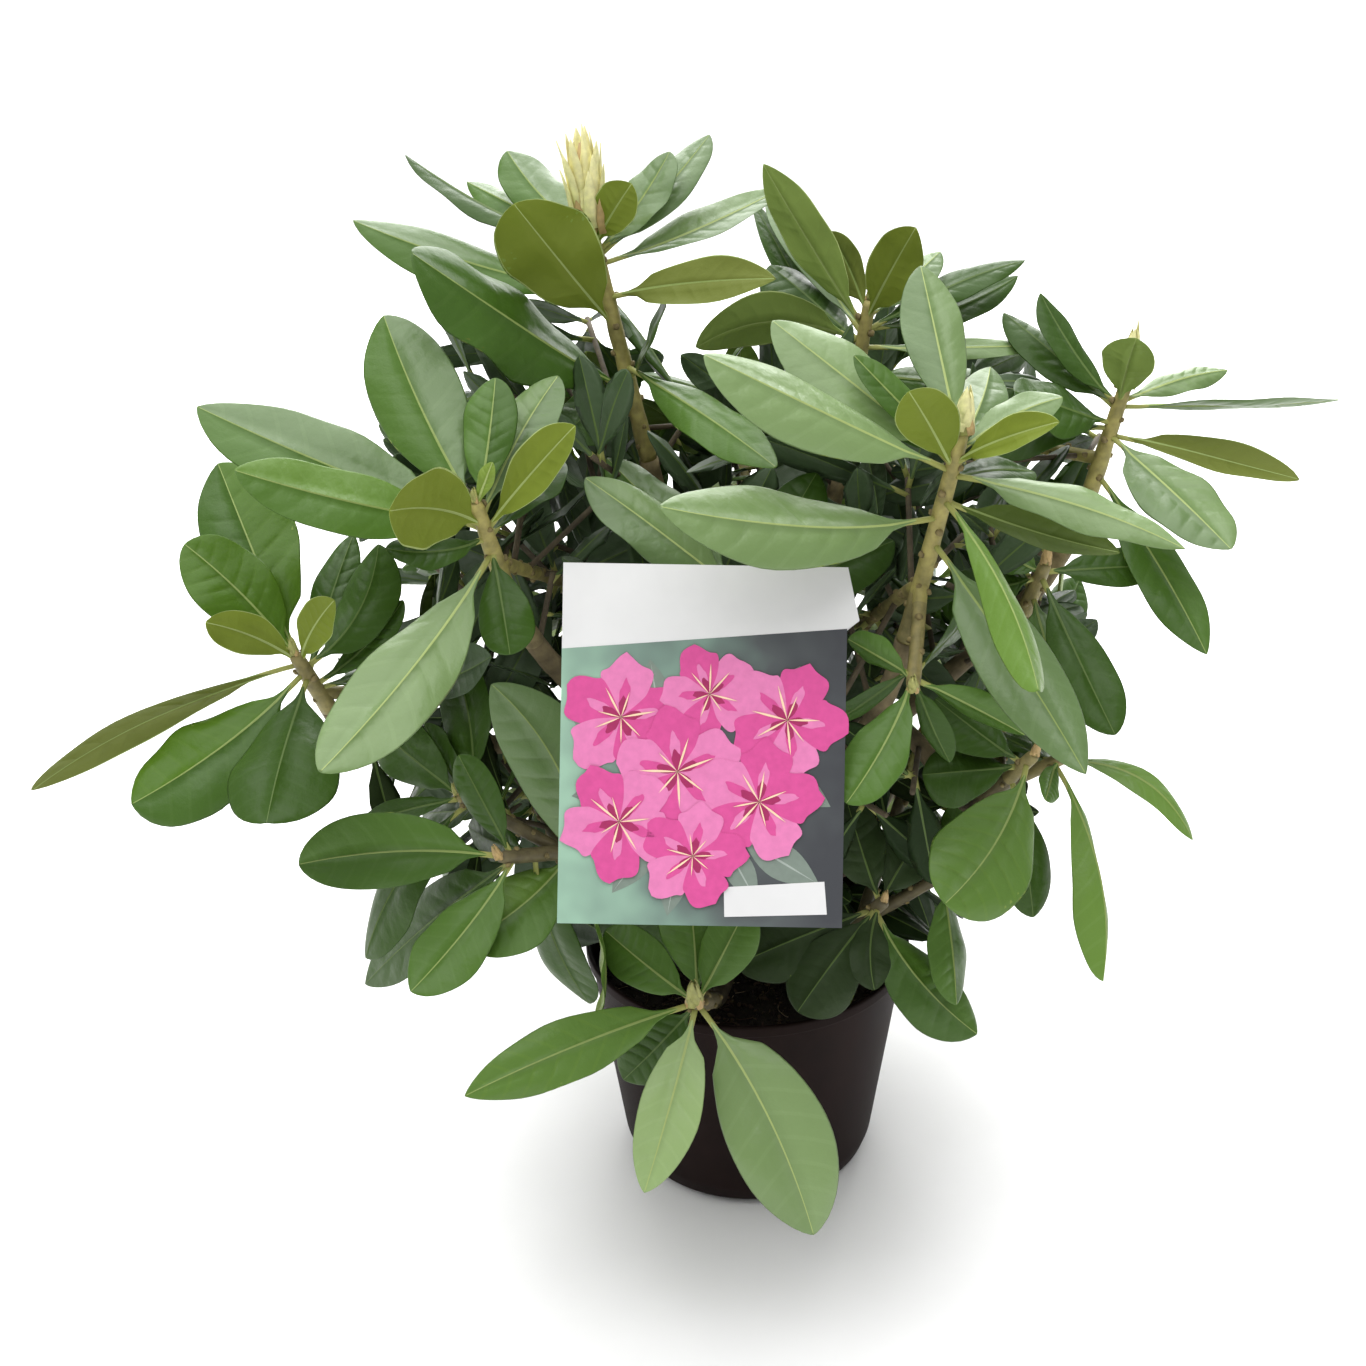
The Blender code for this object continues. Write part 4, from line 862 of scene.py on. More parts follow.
def front_leaf(row, bud, way, lean_change):
    """A leaf given as it is seen from the front: root, tip, upper normal, width and how its middle bows."""
    clock, seen_length, lean, width, below, bow, *turn = row
    root = bud - way * below / 1000
    to_tip = VIEW_RIGHT * cos(radians(clock)) + VIEW_UP * sin(radians(clock))
    seen_tip = bud + to_tip * seen_length / 1000
    toward = (VIEW_POINT - seen_tip).normalized()
    tip = seen_tip + toward * tan(radians(lean + lean_change)) * (seen_tip - root).length
    chord = (tip - root).normalized()
    facing = toward - chord * toward.dot(chord)
    if turn:
        normal = Matrix.Rotation(radians(turn[0]), 3, chord) @ facing.normalized()
    else:
        normal = (way - chord * way.dot(chord)).normalized() + facing * FRONT_FACING
    seen_left = toward.cross(seen_tip - root).normalized()
    arch = toward * normal.dot(toward) * LEAF_ARCH * (tip - root).length
    return root, tip, normal.normalized(), width * FLATTENED_WIDTH / 1000, seen_left * bow / 1000 + arch


def rule_leaf(order, count, bud, way, length, turn):
    """A leaf of a shoot that follows the rule: young ones upright at the bud, old ones drooping below."""
    share = order / (count - 1)
    rise = blend(YOUNG_RISE, OLD_RISE, share)
    chord = turned_out(way, turn + GOLDEN_TURN * order) * cos(rise) + way * sin(rise)
    growth = sin(pi / 2 * min(1.0, share / FULL_SIZE_SHARE))
    size = length * blend(YOUNG_SIZE, 1, growth)
    root = bud - way * blend(YOUNG_BELOW, OLD_BELOW, share)
    normal = (way - chord * way.dot(chord)).normalized()
    return root, root + chord * size, normal, size * RULE_WIDTH, normal * LEAF_ARCH * size


def obstacle(shape, owner=None, inner=None):
    """What leaves keep clear of: its middle, reach and mass, and its shape to others and to its own."""
    middle = sum(shape[0], Vector()) / len(shape[0])
    reach = max((p - middle).length for p in shape[0])
    return middle, reach, owner, tree_of(shape), inner


def leaf_obstacle(leaf, stations, owner):
    blade = tree_of(leaf_solid(leaf, stations, LEAF_THICKNESS, TEST_START))
    return obstacle(leaf_solid(leaf, stations, LEAF_THICKNESS), owner, blade)


def fits(leaf, stations, mass, obstacles, thickness=TEST_THICKNESS):
    """Whether the leaf's blade is clear of its own mass, and all of it of everything else."""
    shape = leaf_solid(leaf, stations, thickness)
    if min(p.z for p in shape[0]) < LEAST_HEIGHT:
        return False
    middle = (leaf[0] + leaf[1]) / 2
    radius = (leaf[1] - leaf[0]).length / 2 + leaf[3] / 2 + leaf[4].length
    whole = tree_of(shape)
    blade = tree_of(leaf_solid(leaf, stations, thickness, TEST_START))
    for centre, reach, owner, outer, inner in obstacles:
        if (centre - middle).length >= radius + reach:
            continue
        if owner == mass and inner is not None and blade.overlap(inner):
            return False
        if owner != mass and whole.overlap(outer):
            return False
    return True


def back_shoots():
    """Foot, bud and leaf length of each shoot on the sides and at the back."""
    shoots = {}
    for row, (count, reach, height, first, last, length) in BACK_ROWS.items():
        for i in range(count):
            azimuth = radians(first + (last - first) * i / (count - 1))
            out = Vector((cos(azimuth), sin(azimuth), 0.0))
            bud = BACK_MIDDLE + out * reach + UP * height
            way = out * cos(BACK_TWIG_RISE) + UP * sin(BACK_TWIG_RISE)
            shoots[f"{row}_{i + 1}"] = (bud - way * BACK_TWIG_LENGTH, bud, length)
    return shoots


def all_shoots():
    """Each shoot's mass, foot, bud, way, radius and bud length.

    A side shoot's foot is on the twig of its mass."""
    given = {name: (foot, bud, size / 1000) for name, (foot, bud, size, _, _) in FRONT_SHOOTS.items()}
    for name, (foot, bud, _) in {**INNER_SHOOTS, **back_shoots()}.items():
        given[name] = (foot, bud, RULE_BUD_LENGTH)
    shoots = {}
    for name, (foot, bud, size) in given.items():
        mass = foot if isinstance(foot, str) else name
        if mass != name:
            foot = Vector(given[mass][0]).lerp(Vector(given[mass][1]), SIDE_SHARE)
        foot, bud = Vector(foot), Vector(bud)
        radius = TWIG_FOOT_RADIUS if name == mass else TWIG_TOP_RADIUS
        shoots[name] = (mass, foot, bud, (bud - foot).normalized(), radius, size)
    return shoots


def rule_tint(name, order):
    """The letter of a rule leaf's colours: dark inside the crown, as painted shade, mixed at the back, young
    at the bud.
    """
    if name in FRONT_SHOOTS:
        return "d"
    if name in INNER_SHOOTS:
        return "i" if order < YOUNG_LEAVES else "s"
    return "y" if order == 0 else BACK_TINTS[order % len(BACK_TINTS)]


def place_leaves(shoots, obstacles):
    """The leaves of every shoot: those seen from the front first, then those that the rule adds."""
    leaves = []
    chance = random.Random(SEED)

    def add(name, leaf, stations, tint):
        """Adds the leaf to the shoot where it fits, and says whether it did."""
        mass = shoots[name][0]
        placed = fits(leaf, stations, mass, obstacles)
        if placed:
            leaves.append((mass, leaf, tint))
            obstacles.append(leaf_obstacle(leaf, stations, mass))
        return placed

    def add_by_rule(name, count, length, least_away=-inf):
        """Adds leaves by the rule that point away from the viewer by at least that much."""
        _, _, bud, way, *_ = shoots[name]
        turn = chance.uniform(0, tau)
        for order in range(count):
            leaf = rule_leaf(order, count, bud, way, length * chance.uniform(*RULE_LENGTHS), turn)
            away = (leaf[1] - leaf[0]).normalized().dot(VIEW_FORWARD)
            if within_seen_reach(leaf[1]) and away > least_away:
                add(name, leaf, FILL_STATIONS, rule_tint(name, order))

    for name, (_, _, _, tints, rows) in FRONT_SHOOTS.items():
        _, _, bud, way, *_ = shoots[name]
        for row, tint in zip(rows, tints):
            any(add(name, front_leaf(row, bud, way, change), FRONT_STATIONS, tint) for change in LEAN_STEPS)
    for name, (_, _, length) in {**INNER_SHOOTS, **back_shoots()}.items():
        add_by_rule(name, RULE_LEAVES, length)
    for name in FRONT_SHOOTS:
        add_by_rule(name, EXTRA_LEAVES, EXTRA_LENGTH, EXTRA_AWAY)
    return leaves


def hides_sky(leaf):
    """Whether the leaf would be seen over sky that the photograph shows, or outside the crown."""
    root, tip, normal, width, _ = leaf
    side = (tip - root).cross(normal).normalized() * width / 2
    middle = root.lerp(tip, 0.6)
    points = (tip, middle, middle + side, middle - side, root.lerp(tip, 0.85))
    return any(over_sky(point, 0) or not within_seen_reach(point) for point in points)


def outside(leaf):
    """Whether the leaf reaches out of the inside of the crown, in front or at the back."""
    front = FILL_FRONT_LOW if leaf[0].z < SHADE_HEIGHT else FILL_FRONT
    return min(leaf[0].y, leaf[1].y) < front or leaf[1].y > FILL_BACK


def fill_stems(limbs, shoots):
    """Where short twigs can grow: the boughs' outer parts, and the twigs that follow the rule."""
    twigs = [shoot for name, shoot in shoots.items() if name not in FRONT_SHOOTS]
    return [path for path, _ in limbs.values()] + [
        [foot, foot.lerp(bud, 0.5), bud.lerp(foot, 0.25)] for _, foot, bud, *_ in twigs
    ]


def fill_shoots(stems, obstacles):
    """Short leafy twigs along the stems: each with its foot, its bud and its leaves by the rule."""
    chance = random.Random(SEED + 3)
    shoots = []
    for number, path in enumerate(stems):
        for order, share in enumerate(FILL_SHARES):
            foot, way = along(path, share)
            out = turned_out(way, GOLDEN_TURN * (number * len(FILL_SHARES) + order))
            heading = (out + way * FILL_TWIG_AHEAD + UP * FILL_TWIG_LIFT).normalized()
            bud = foot + heading * chance.uniform(*FILL_TWIG_LENGTH)
            turn = chance.uniform(0, tau)
            if any(over_sky(foot.lerp(bud, part), TWIG_SKY_MARGIN) for part in TWIG_SKY_TESTS):
                continue
            owner, found = (number, order), []
            for leaf_order in range(FILL_LEAVES):
                leaf = rule_leaf(leaf_order, FILL_LEAVES, bud, heading, chance.uniform(*FILL_LENGTH), turn)
                if hides_sky(leaf) or outside(leaf):
                    continue
                if fits(leaf, FILL_STATIONS, owner, obstacles, FILL_CLEARANCE):
                    obstacles.append(leaf_obstacle(leaf, FILL_STATIONS, owner))
                    found.append(leaf)
            if len(found) > 1:
                shoots.append((foot, bud, found))
    return shoots


def fill_tint(leaf):
    """The letter of an inner leaf's colours, in painted shade: darkest low down and in front, where little
    light gets in.
    """
    if leaf[1].y > SHADE_REACH:
        return "i"
    return "s" if leaf[0].z > SHADE_HEIGHT else "k"


# Fine leaves

def leaf_grid(plain):
    """A leaf's rows along it, which of them are the bottoms of side veins, and its columns."""
    if plain:
        return np.array(PLAIN_ROWS), np.zeros(len(PLAIN_ROWS)), np.array(PLAIN_COLUMNS)
    rows, valleys = [*STALK_ROWS], [0.0] * len(STALK_ROWS)
    step = (VEIN_LAST - VEIN_FIRST) / (VEIN_PAIRS - 1)
    for pair in range(VEIN_PAIRS):
        middle = VEIN_FIRST + step * pair
        rows += [middle - VEIN_HALF_WIDTH, middle, middle + VEIN_HALF_WIDTH, middle + step / 2]
        valleys += [0.0, 1.0, 0.0, 0.0]
    return np.array([*rows, LAST_ROW]), np.array([*valleys, 0.0]), np.array(LEAF_COLUMNS)


def smooth_step(x):
    x = np.clip(x, 0, 1)
    return x * x * (3 - 2 * x)


def side_phase(side_sign, chance):
    """A random phase, different on the two sides of a leaf."""
    return chance.uniform(*ANY_PHASE) + (side_sign > 0) * chance.uniform(*OTHER_SIDE_PHASE)


def waves_over(x, waves, phase, chance):
    return np.sin(2 * np.pi * chance.uniform(*waves) * x + phase)


def leaf_outline(t, side_sign, width, length, chance, folded):
    """Half the leaf's width along it, on each side: a slender leaf has a longer tip than a broad one."""
    s = np.clip((t - LEAF_STALK_SHARE) / (1 - LEAF_STALK_SHARE), 0, 1)
    pointed = min(0.80, max(0.52, 0.98 - 0.8 * width / length)) + chance.uniform(*TIP_POINT)
    pointed -= FOLD_BLUNTNESS * folded
    shoulder = chance.uniform(*SHOULDER)
    widest = shoulder / (shoulder + pointed)
    even = (s / widest) ** shoulder * ((1 - s) / (1 - widest)) ** pointed * width / 2
    phase = side_phase(side_sign, chance)
    ripple = chance.uniform(*RIPPLE) * waves_over(s, RIPPLES, phase, chance)
    return even * (1 + side_sign * chance.uniform(*LOPSIDED) + ripple)


def blade_relief(row, t, share, side_sign, half, valleys, chance):
    """How far the blade's upper side stands over the flat leaf: fold, rolled edges, waves and grooves."""
    fold, roll, wave = chance.uniform(*FOLD), chance.uniform(*ROLL), chance.uniform(*WAVE)
    body = np.sin(np.pi * row) ** 0.7
    phase = side_phase(side_sign, chance)
    waves = waves_over(t, WAVES, phase, chance)
    swell = np.sin(2 * np.pi * chance.uniform(*SWELLS) * t + phase + chance.uniform(*ANY_PHASE))
    up = half * (fold * share - (roll + 0.08) * share**2.5 + wave * share**2 * waves * body)
    up = up + half * 0.065 * swell * np.sin(np.pi * share) * body
    depth = 0.3 + 1.3 * chance.uniform(0, 1) ** 2
    uneven = 1 + 0.6 * waves_over(row, GROOVE_SPELLS, phase, chance)
    grooves = valleys[:, None] * (share > 0.01) * (1 - share**2) ** 2 * depth * uneven
    crease = RIB_CREASE * np.exp(-share / 0.15) * (side_sign != 0) * body
    return up - VEIN_DEPTH * grooves - crease


def unit(vectors):
    return vectors / np.linalg.norm(vectors, axis=-1, keepdims=True)


def fine_leaf(leaf, tint, grid, chance, folded=False):
    """A leaf as a closed blade with its midrib, side veins, margins and round stalk."""
    root, tip, normal, width, bow = (np.array(v) for v in leaf)
    rows, valleys, columns = grid
    row = rows[:, None]
    share = np.concatenate([columns[::-1], [0.0], columns])
    side_sign = np.concatenate([-np.ones(len(columns)), [0.0], np.ones(len(columns))])
    t = row + VEIN_SLANT * share**1.2 * np.sin(np.pi * row) ** 0.8
    length = np.linalg.norm(tip - root)
    blade = smooth_step((row - STALK_END) / 0.10)
    stalk_radius = LEAF_STALK_HALF_WIDTH * (1 - 0.3 * row)
    outline = leaf_outline(t, side_sign, width, length, chance, folded)
    half = np.maximum(outline, stalk_radius * (row < 0.3) + 0.0002)
    rib = np.minimum(RIB_HALF_WIDTH * (1 - RIB_TAPER * row), half * 0.4)
    blade_across = side_sign * (rib + (half - rib) * share)
    blade_up = blade_relief(row, t, share, side_sign, half, valleys, chance)
    if folded:
        blade_up = blade_up + FOLD_RISE * half * share * smooth_step(row / FOLD_START)
        blade_across = blade_across * (1 - FOLD_NARROWING * smooth_step(row / FOLD_START))
    blade_up = blade_up + (side_sign == 0) * RIB_HEIGHT * (1 - row)
    thickness = BLADE_THICKNESS * (1 - share**6) + (share < 0.01) * rib * 0.8
    angle = np.linspace(-np.pi / 2, np.pi / 2, len(share))
    across = stalk_radius * np.sin(angle) * (1 - blade) + blade_across * blade
    stalk_up = stalk_radius * 0.8 * np.cos(angle) * (1 - blade)
    top = stalk_up + blade_up * blade
    bottom = (blade_up - thickness) * blade - stalk_up
    bottom[:, [0, -1]] = top[:, [0, -1]]
    curl = chance.uniform(*CURL) * length * np.clip((t - 0.5) / 0.5, 0, 1) ** 2
    chord = tip - root
    middle = root + chord * t[..., None] + bow * (4 * t * (1 - t))[..., None]
    way = unit(chord + bow * (4 * (1 - 2 * t))[..., None])
    side = unit(np.cross(way, normal))
    up = np.cross(side, way)
    twist = chance.uniform(*TWIST) * t[..., None]
    middle = middle + side * (chance.uniform(*SWAY) * length * 4 * t * (1 - t))[..., None]
    side, up = side * np.cos(twist) + up * np.sin(twist), up * np.cos(twist) - side * np.sin(twist)
    upper, lower = (
        middle + side * across[..., None] + up * (height - curl)[..., None] for height in (top, bottom)
    )
    rings = np.concatenate([upper, lower[:, -2:0:-1]], axis=1)
    end = tip - up[-1, len(columns)] * curl[-1, len(columns)]
    points = np.concatenate([rings.reshape(-1, 3), [root], [end]])
    quads, tris = tube_faces(len(rows), rings.shape[1])
    # Painted shade: on most leaves the lower half of the blade takes its darker colour
    shaded = 0
    if chance.random() < SHADED_SHARE:
        shaded = -1 if side[len(rows) // 2, len(columns), 2] > 0 else 1
    quad_slots, tri_slots = leaf_slots(tint, valleys, rows, len(columns), shaded)
    return points, quads[:, ::-1], quad_slots, tris[:, ::-1], tri_slots


def leaf_slots(tint, valleys, rows, columns, shaded):
    """Which look each face of a leaf takes: its four-sided faces, row by row, then its end faces.

    One half of the blade, the lower one, may take a darker colour, as painted shade."""
    last = 2 * columns
    slot = {part: LEAF_SLOTS[look] for part, look in tint.items()}
    vein = {part: LEAF_SLOTS.get(f"{look}_vein", LEAF_SLOTS[look]) for part, look in tint.items()}
    ring = np.array([slot["top"]] * last + [slot["under"]] * last)
    veins = np.full(last, vein["top"])
    if shaded:
        half = slice(0, columns) if shaded < 0 else slice(columns, last)
        ring[half], veins[half] = slot["half"], vein["half"]
    ring[[columns - 1, columns]] = slot["rib"]
    ring[[last + columns - 1, last + columns]] = slot["under_rib"]
    ring[[last, 2 * last - 1]] = slot["margin"]
    slots = np.tile(ring, (len(rows) - 1, 1))
    beside_valley = (valleys[:-1] + valleys[1:]) > 0
    for column in (*range(1, columns - 1), *range(columns + 1, last - 1)):
        slots[beside_valley, column] = veins[column]
    slots[rows[:-1] < STALK_END] = LEAF_SLOTS["stalk"]
    ends = np.concatenate([np.full(2 * last, LEAF_SLOTS["stalk"]), ring])
    return slots.ravel(), ends


def add_leaves(leaves, masses, fill):
    """The fine leaves, gathered into pieces that each stand for some of the masses."""
    looks = [leaf_surface(f"leaf_{name}", *look) for name, look in LEAF_COLOURS.items()]
    tints = {letter: dict(zip(TINT_PARTS, names.split())) for letter, names in LEAF_TINTS.items()}
    chance = random.Random(SEED + 1)
    full, plain = leaf_grid(False), leaf_grid(True)
    pile, held, number = Pile(), [], 1
    for mass in masses:
        for owner, leaf, letter in leaves:
            if owner == mass:
                pile.add(*fine_leaf(leaf, tints[letter.lower()], full, chance, letter.isupper()))
        held.append(f"mass_{mass}")
        if pile.triangles() > MOST_TRIANGLES - MASS_TRIANGLES or mass == masses[-1]:
            finish_piece(pile.build(f"leaves_{number}", looks), held)
            pile, held, number = Pile(), [], number + 1
    pile, number = Pile(), 1
    for _, _, found in fill:
        if pile.triangles() > MOST_TRIANGLES:
            finish_piece(pile.build(f"leaves_inner_{number}", looks))
            pile, number = Pile(), number + 1
        for leaf in found:
            pile.add(*fine_leaf(leaf, tints[fill_tint(leaf)], plain, chance))
    finish_piece(pile.build(f"leaves_inner_{number}", looks))


# Twigs and buds as obstacles

def cone_between(start, end, start_radius, end_radius, sides):
    """Points and faces of a plain tapering twig."""
    shape = bmesh.new()
    length = (end - start).length
    bmesh.ops.create_cone(
        shape, cap_ends=True, segments=sides, radius1=start_radius, radius2=end_radius, depth=length
    )
    turn = (end - start).to_track_quat("Z", "Y").to_matrix().to_4x4()
    bmesh.ops.transform(shape, matrix=Matrix.Translation((start + end) / 2) @ turn, verts=shape.verts)
    points = [v.co.copy() for v in shape.verts]
    faces = [tuple(v.index for v in f.verts) for f in shape.faces]
    shape.free()
    return points, faces


def plain_bud(bud, way, length):
    """Points and faces of a plain pointed bud."""
    sides, last = BUD_SIDES, (len(BUD_RINGS) - 1) * BUD_SIDES
    scale = min(BUD_RADIUS, length * BUD_SLENDERNESS)
    points = [
        bud + way * share * length + turned_out(way, tau * i / sides) * scale * size
        for share, size in BUD_RINGS for i in range(sides)
    ]
    around = [(i, (i + 1) % sides) for i in range(sides)]
    faces = [tuple(reversed(range(sides)))]
    for ring in range(0, last, sides):
        faces += [(ring + i, ring + j, ring + sides + j, ring + sides + i) for i, j in around]
    faces += [(last + i, last + j, last + sides) for i, j in around]
    return [*points, bud + way * length], faces


def all_obstacles(shoots, nodes):
    """What the leaves keep clear of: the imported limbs, card, loop, pot and peat, and the twigs and buds."""
    found = []
    for name, node in nodes.items():
        if not name.startswith("mass_"):
            points = [v.co.copy() for v in node.data.vertices]
            found.append(obstacle((points, [tuple(f.vertices) for f in node.data.polygons])))
    for mass, foot, bud, way, radius, bud_length in shoots.values():
        twig = cone_between(foot, bud, radius, TWIG_TOP_RADIUS, TWIG_SIDES)
        found.append(obstacle(twig, mass, tree_of(twig)))
        found.append(obstacle(plain_bud(bud, way, bud_length), mass))
    return found


# Buds

def add_scale(pile, place, spin, slot):
    """One pointed bud scale, closed, that hugs the bud and may flare at its tip."""
    bud, way, across, beside = place
    angle, start, end, width, radius, flare = spin
    rings = np.zeros((len(SCALE_RINGS), len(SCALE_SIDES), 3))
    for i, (share, size) in enumerate(SCALE_RINGS):
        reach = radius * (1.0 - 0.72 * share**2) + flare * share**2
        for j, (turn, deep) in enumerate(SCALE_SIDES):
            bend = angle + turn * size * width / max(radius, 0.001) * 0.5
            out = across * cos(bend) + beside * sin(bend)
            rings[i, j] = bud + way * blend(start, end, share) + out * (reach + deep)
    add_tube(pile, rings, slot)


def add_buds(shoots):
    """Each end bud as a cone of overlapping scales; the top one opens in long narrow bracts."""
    looks = [
        surface("bud_green", (0.300, 0.300, 0.090), 0.55, 0.2, 300),
        surface("bud_tan", (0.420, 0.290, 0.120), 0.6, 0.2, 300),
        surface("bud_cream", (0.740, 0.700, 0.350), 0.6, 0.15, 300),
    ]
    pile = Pile()
    chance = random.Random(SEED + 4)
    for name, (_, _, bud, twig_way, _, length) in shoots.items():
        way = (twig_way + UP * BUD_UPTURN).normalized()
        across = way.orthogonal().normalized()
        opening = name == OPENING_BUD
        radius = min(BUD_RADIUS, length * BUD_SLENDERNESS) * (OPENING_SIZE if opening else 1.0)
        core = [bud + way * length * share for share, _ in BUD_CORE]
        add_tube(pile, rings_along(core, [radius * size for _, size in BUD_CORE], 10), 1 if opening else 0)
        count = OPENING_SCALES if opening else BUD_SCALES
        main = 2 if name in CREAM_BUDS else chance.choice((0, 0, 1))
        for order in range(count):
            share = order / count
            start = length * (-0.08 + (0.42 if opening else 0.5) * share)
            end = length * min(1.04, 0.42 + 0.62 * share + chance.uniform(-0.04, 0.06))
            flare = chance.uniform(*OPENING_FLARE) if opening else 0.0002
            width = radius * (0.9 if opening else 1.5)
            spin = (GOLDEN_TURN * order, start, end, width, radius * (1.12 - 0.35 * share), flare)
            add_scale(pile, (bud, way, across, way.cross(across)), spin, 1 if share < 0.22 else main)
    finish_piece(pile.build("buds", looks))


# Label card

# The card's place: X to its right, Y up the card, Z out of its printed face
CARD_PLACE = Matrix.Translation(CARD_CENTRE) @ (
    Matrix.Rotation(-CARD_YAW, 4, "Z")
    @ Matrix.Rotation(pi / 2 - CARD_LEAN, 4, "X")
    @ Matrix.Rotation(CARD_ROLL, 4, "Z")
)


def add_plate(pile, outline, bottom, thickness, slot):
    """A flat plate on the card, star-shaped about the mean of its outline: (x, y) in metres."""
    rings = [[CARD_PLACE @ Vector((*point, z)) for point in outline] for z in (bottom, bottom + thickness)]
    add_tube(pile, np.array(rings), slot)


def axes_of(heading):
    """A heading's direction on the card, and the direction to its left."""
    way = Vector((cos(heading), sin(heading)))
    return way, Vector((-way.y, way.x))


def petal_outline(centre, heading, reach, breadth, ruffle, steps=22):
    """A petal's edge: narrow at the blossom's middle, broad and ruffled at its end."""
    way, side = axes_of(heading)
    points = []
    for sign in (-1, 1):
        for i in range(steps):
            share = (i + 0.5) / steps if sign < 0 else 1 - (i + 0.5) / steps
            half = reach * breadth * sin(pi * share**1.35) ** 0.75
            ripple = 1 + ruffle * sin(15 * share + heading * 3 + sign)
            points.append(centre + way * reach * share * ripple + side * sign * half * ripple)
    return points


def slender_outline(centre, heading, reach, breadth):
    """The edge of a leaf, a rib or a stamen."""
    way, side = axes_of(heading)
    shares = [i / 12 for i in range(13)]
    right, left = (
        [centre + way * reach * s + side * sign * reach * breadth * sin(pi * s) for s in shares]
        for sign in (-1, 1)
    )
    return right + left[-2:0:-1]


def card_ground(name):
    """The picture's blurred ground: pale green on the left, dark grey towards the top right."""
    made, tree, shader = shader_of(name)
    place = tree.nodes.new("ShaderNodeTexCoord").outputs["Object"]
    split = set_inputs(tree, tree.nodes.new("ShaderNodeSeparateXYZ"), {"Vector": place})
    across = set_inputs(tree, tree.nodes.new("ShaderNodeMapRange"), {
        "Value": split.outputs["X"],
        "From Min": CARD_CENTRE.x - CARD_WIDTH / 2,
        "From Max": CARD_CENTRE.x + CARD_WIDTH / 2,
        "To Min": -0.45,
        "To Max": 0.55,
    })
    mixed = tree.nodes.new("ShaderNodeMath")
    mixed.operation = "MULTIPLY_ADD"
    set_inputs(tree, mixed, {0: noise_of(tree, 32, 2.0), 1: 0.9, 2: across.outputs["Result"]})
    tint = ramp_of(tree, mixed.outputs["Value"], CARD_GROUND)
    set_inputs(tree, shader, {"Base Color": tint, "Roughness": 0.34})
    return made


def add_card():
    """The label card: a bare title band, a bare panel, and loose blossoms and leaves between them."""
    inks = {
        "card_pink": (0.600, 0.070, 0.270), "card_pale_pink": (0.680, 0.190, 0.410),
        "card_deep_pink": (0.330, 0.018, 0.100), "card_leaf": (0.180, 0.225, 0.190),
        "card_leaf_rib": (0.330, 0.380, 0.340), "card_stamen": (0.850, 0.620, 0.420),
    }
    looks = [surface("card_white", (0.68, 0.68, 0.68), 0.34, 0.02, 60, 0.04, 2400)]
    looks.append(card_ground("card_ground"))
    looks += [surface(name, colour, 0.36, 0.06, 260, 0.04, 2400) for name, colour in inks.items()]
    white, ground, pink, pale_pink, deep_pink, leaf_green, rib_green, stamen_yellow = range(len(looks))
    right, top = CARD_WIDTH / 2, CARD_HEIGHT / 2
    foot = ((-right, -top), (right, -top), (right, CARD_TAB_BOTTOM))
    step = PRINT_THICKNESS
    face = CARD_THICKNESS / 2
    pile = Pile()
    card = (*foot, (right + CARD_TAB_REACH, CARD_TAB_TOP), (right, top), (-right, top))
    add_plate(pile, card, -face, CARD_THICKNESS, white)
    add_plate(pile, (*foot, (-right, BAND_LEFT)), face, step, ground)
    for foot, degrees, length in CARD_LEAVES:
        for rise, reach, breadth, tone in ((1, 1, 0.20, leaf_green), (2, 0.96, 0.012, rib_green)):
            blade = slender_outline(Vector(foot), radians(degrees), length * reach, breadth)
            add_plate(pile, blade, face + rise * step, step, tone)
    chance = random.Random(SEED + 5)
    for order, (centre, size, degrees) in enumerate(CARD_BLOSSOMS):
        centre = Vector(centre)
        level = face + 3 * step + order * BLOSSOM_STEP
        for petal in range(5):
            heading = radians(degrees + 72 * petal)
            tone, inner_tone = (pale_pink, pink) if (petal + order) % 2 else (pink, pale_pink)
            lift = level + petal * PETAL_STEP
            tones = (tone, inner_tone, deep_pink)
            for ink, (rise, reach, breadth, ruffle) in zip(tones, PETAL_LAYERS):
                edge = petal_outline(centre, heading, size * reach, breadth, ruffle)
                add_plate(pile, edge, lift + rise * step, step, ink)
        for stamen in range(7):
            heading = radians(degrees + 51 * stamen + chance.uniform(-12, 12))
            thread = slender_outline(centre, heading, size * chance.uniform(0.35, 0.6), 0.03)
            add_plate(pile, thread, level + 3 * step, step, stamen_yellow)
    add_plate(pile, CARD_PANEL, face + 2 * step, 2 * step, white)
    piece = pile.build("printed_card", looks)
    piece.data.shade_flat()
    finish_piece(piece, ["label_card"])


# Pot and peat

def pot_radius(height):
    """The radius of the pot's outer wall at a height."""
    share = (height - POT_FOOT_HEIGHT) / (POT_HEIGHT - POT_FOOT_HEIGHT)
    return blend(POT_FOOT_RADIUS, POT_RIM_RADIUS - POT_LIP_DEPTH, share)


def rounded(corners, radius, steps):
    """A profile with its inner corners rounded by arcs of about that radius."""
    points = [corners[0]]
    for before, corner, after in zip(corners, corners[1:], corners[2:]):
        corner = Vector(corner)
        back, ahead = Vector(before) - corner, Vector(after) - corner
        cut = min(radius, back.length * 0.45, ahead.length * 0.45)
        a, b = corner + back.normalized() * cut, corner + ahead.normalized() * cut
        for i in range(steps + 1):
            t = i / steps
            points.append(tuple(a * (1 - t) ** 2 + corner * 2 * t * (1 - t) + b * t * t))
    return [*points, corners[-1]]


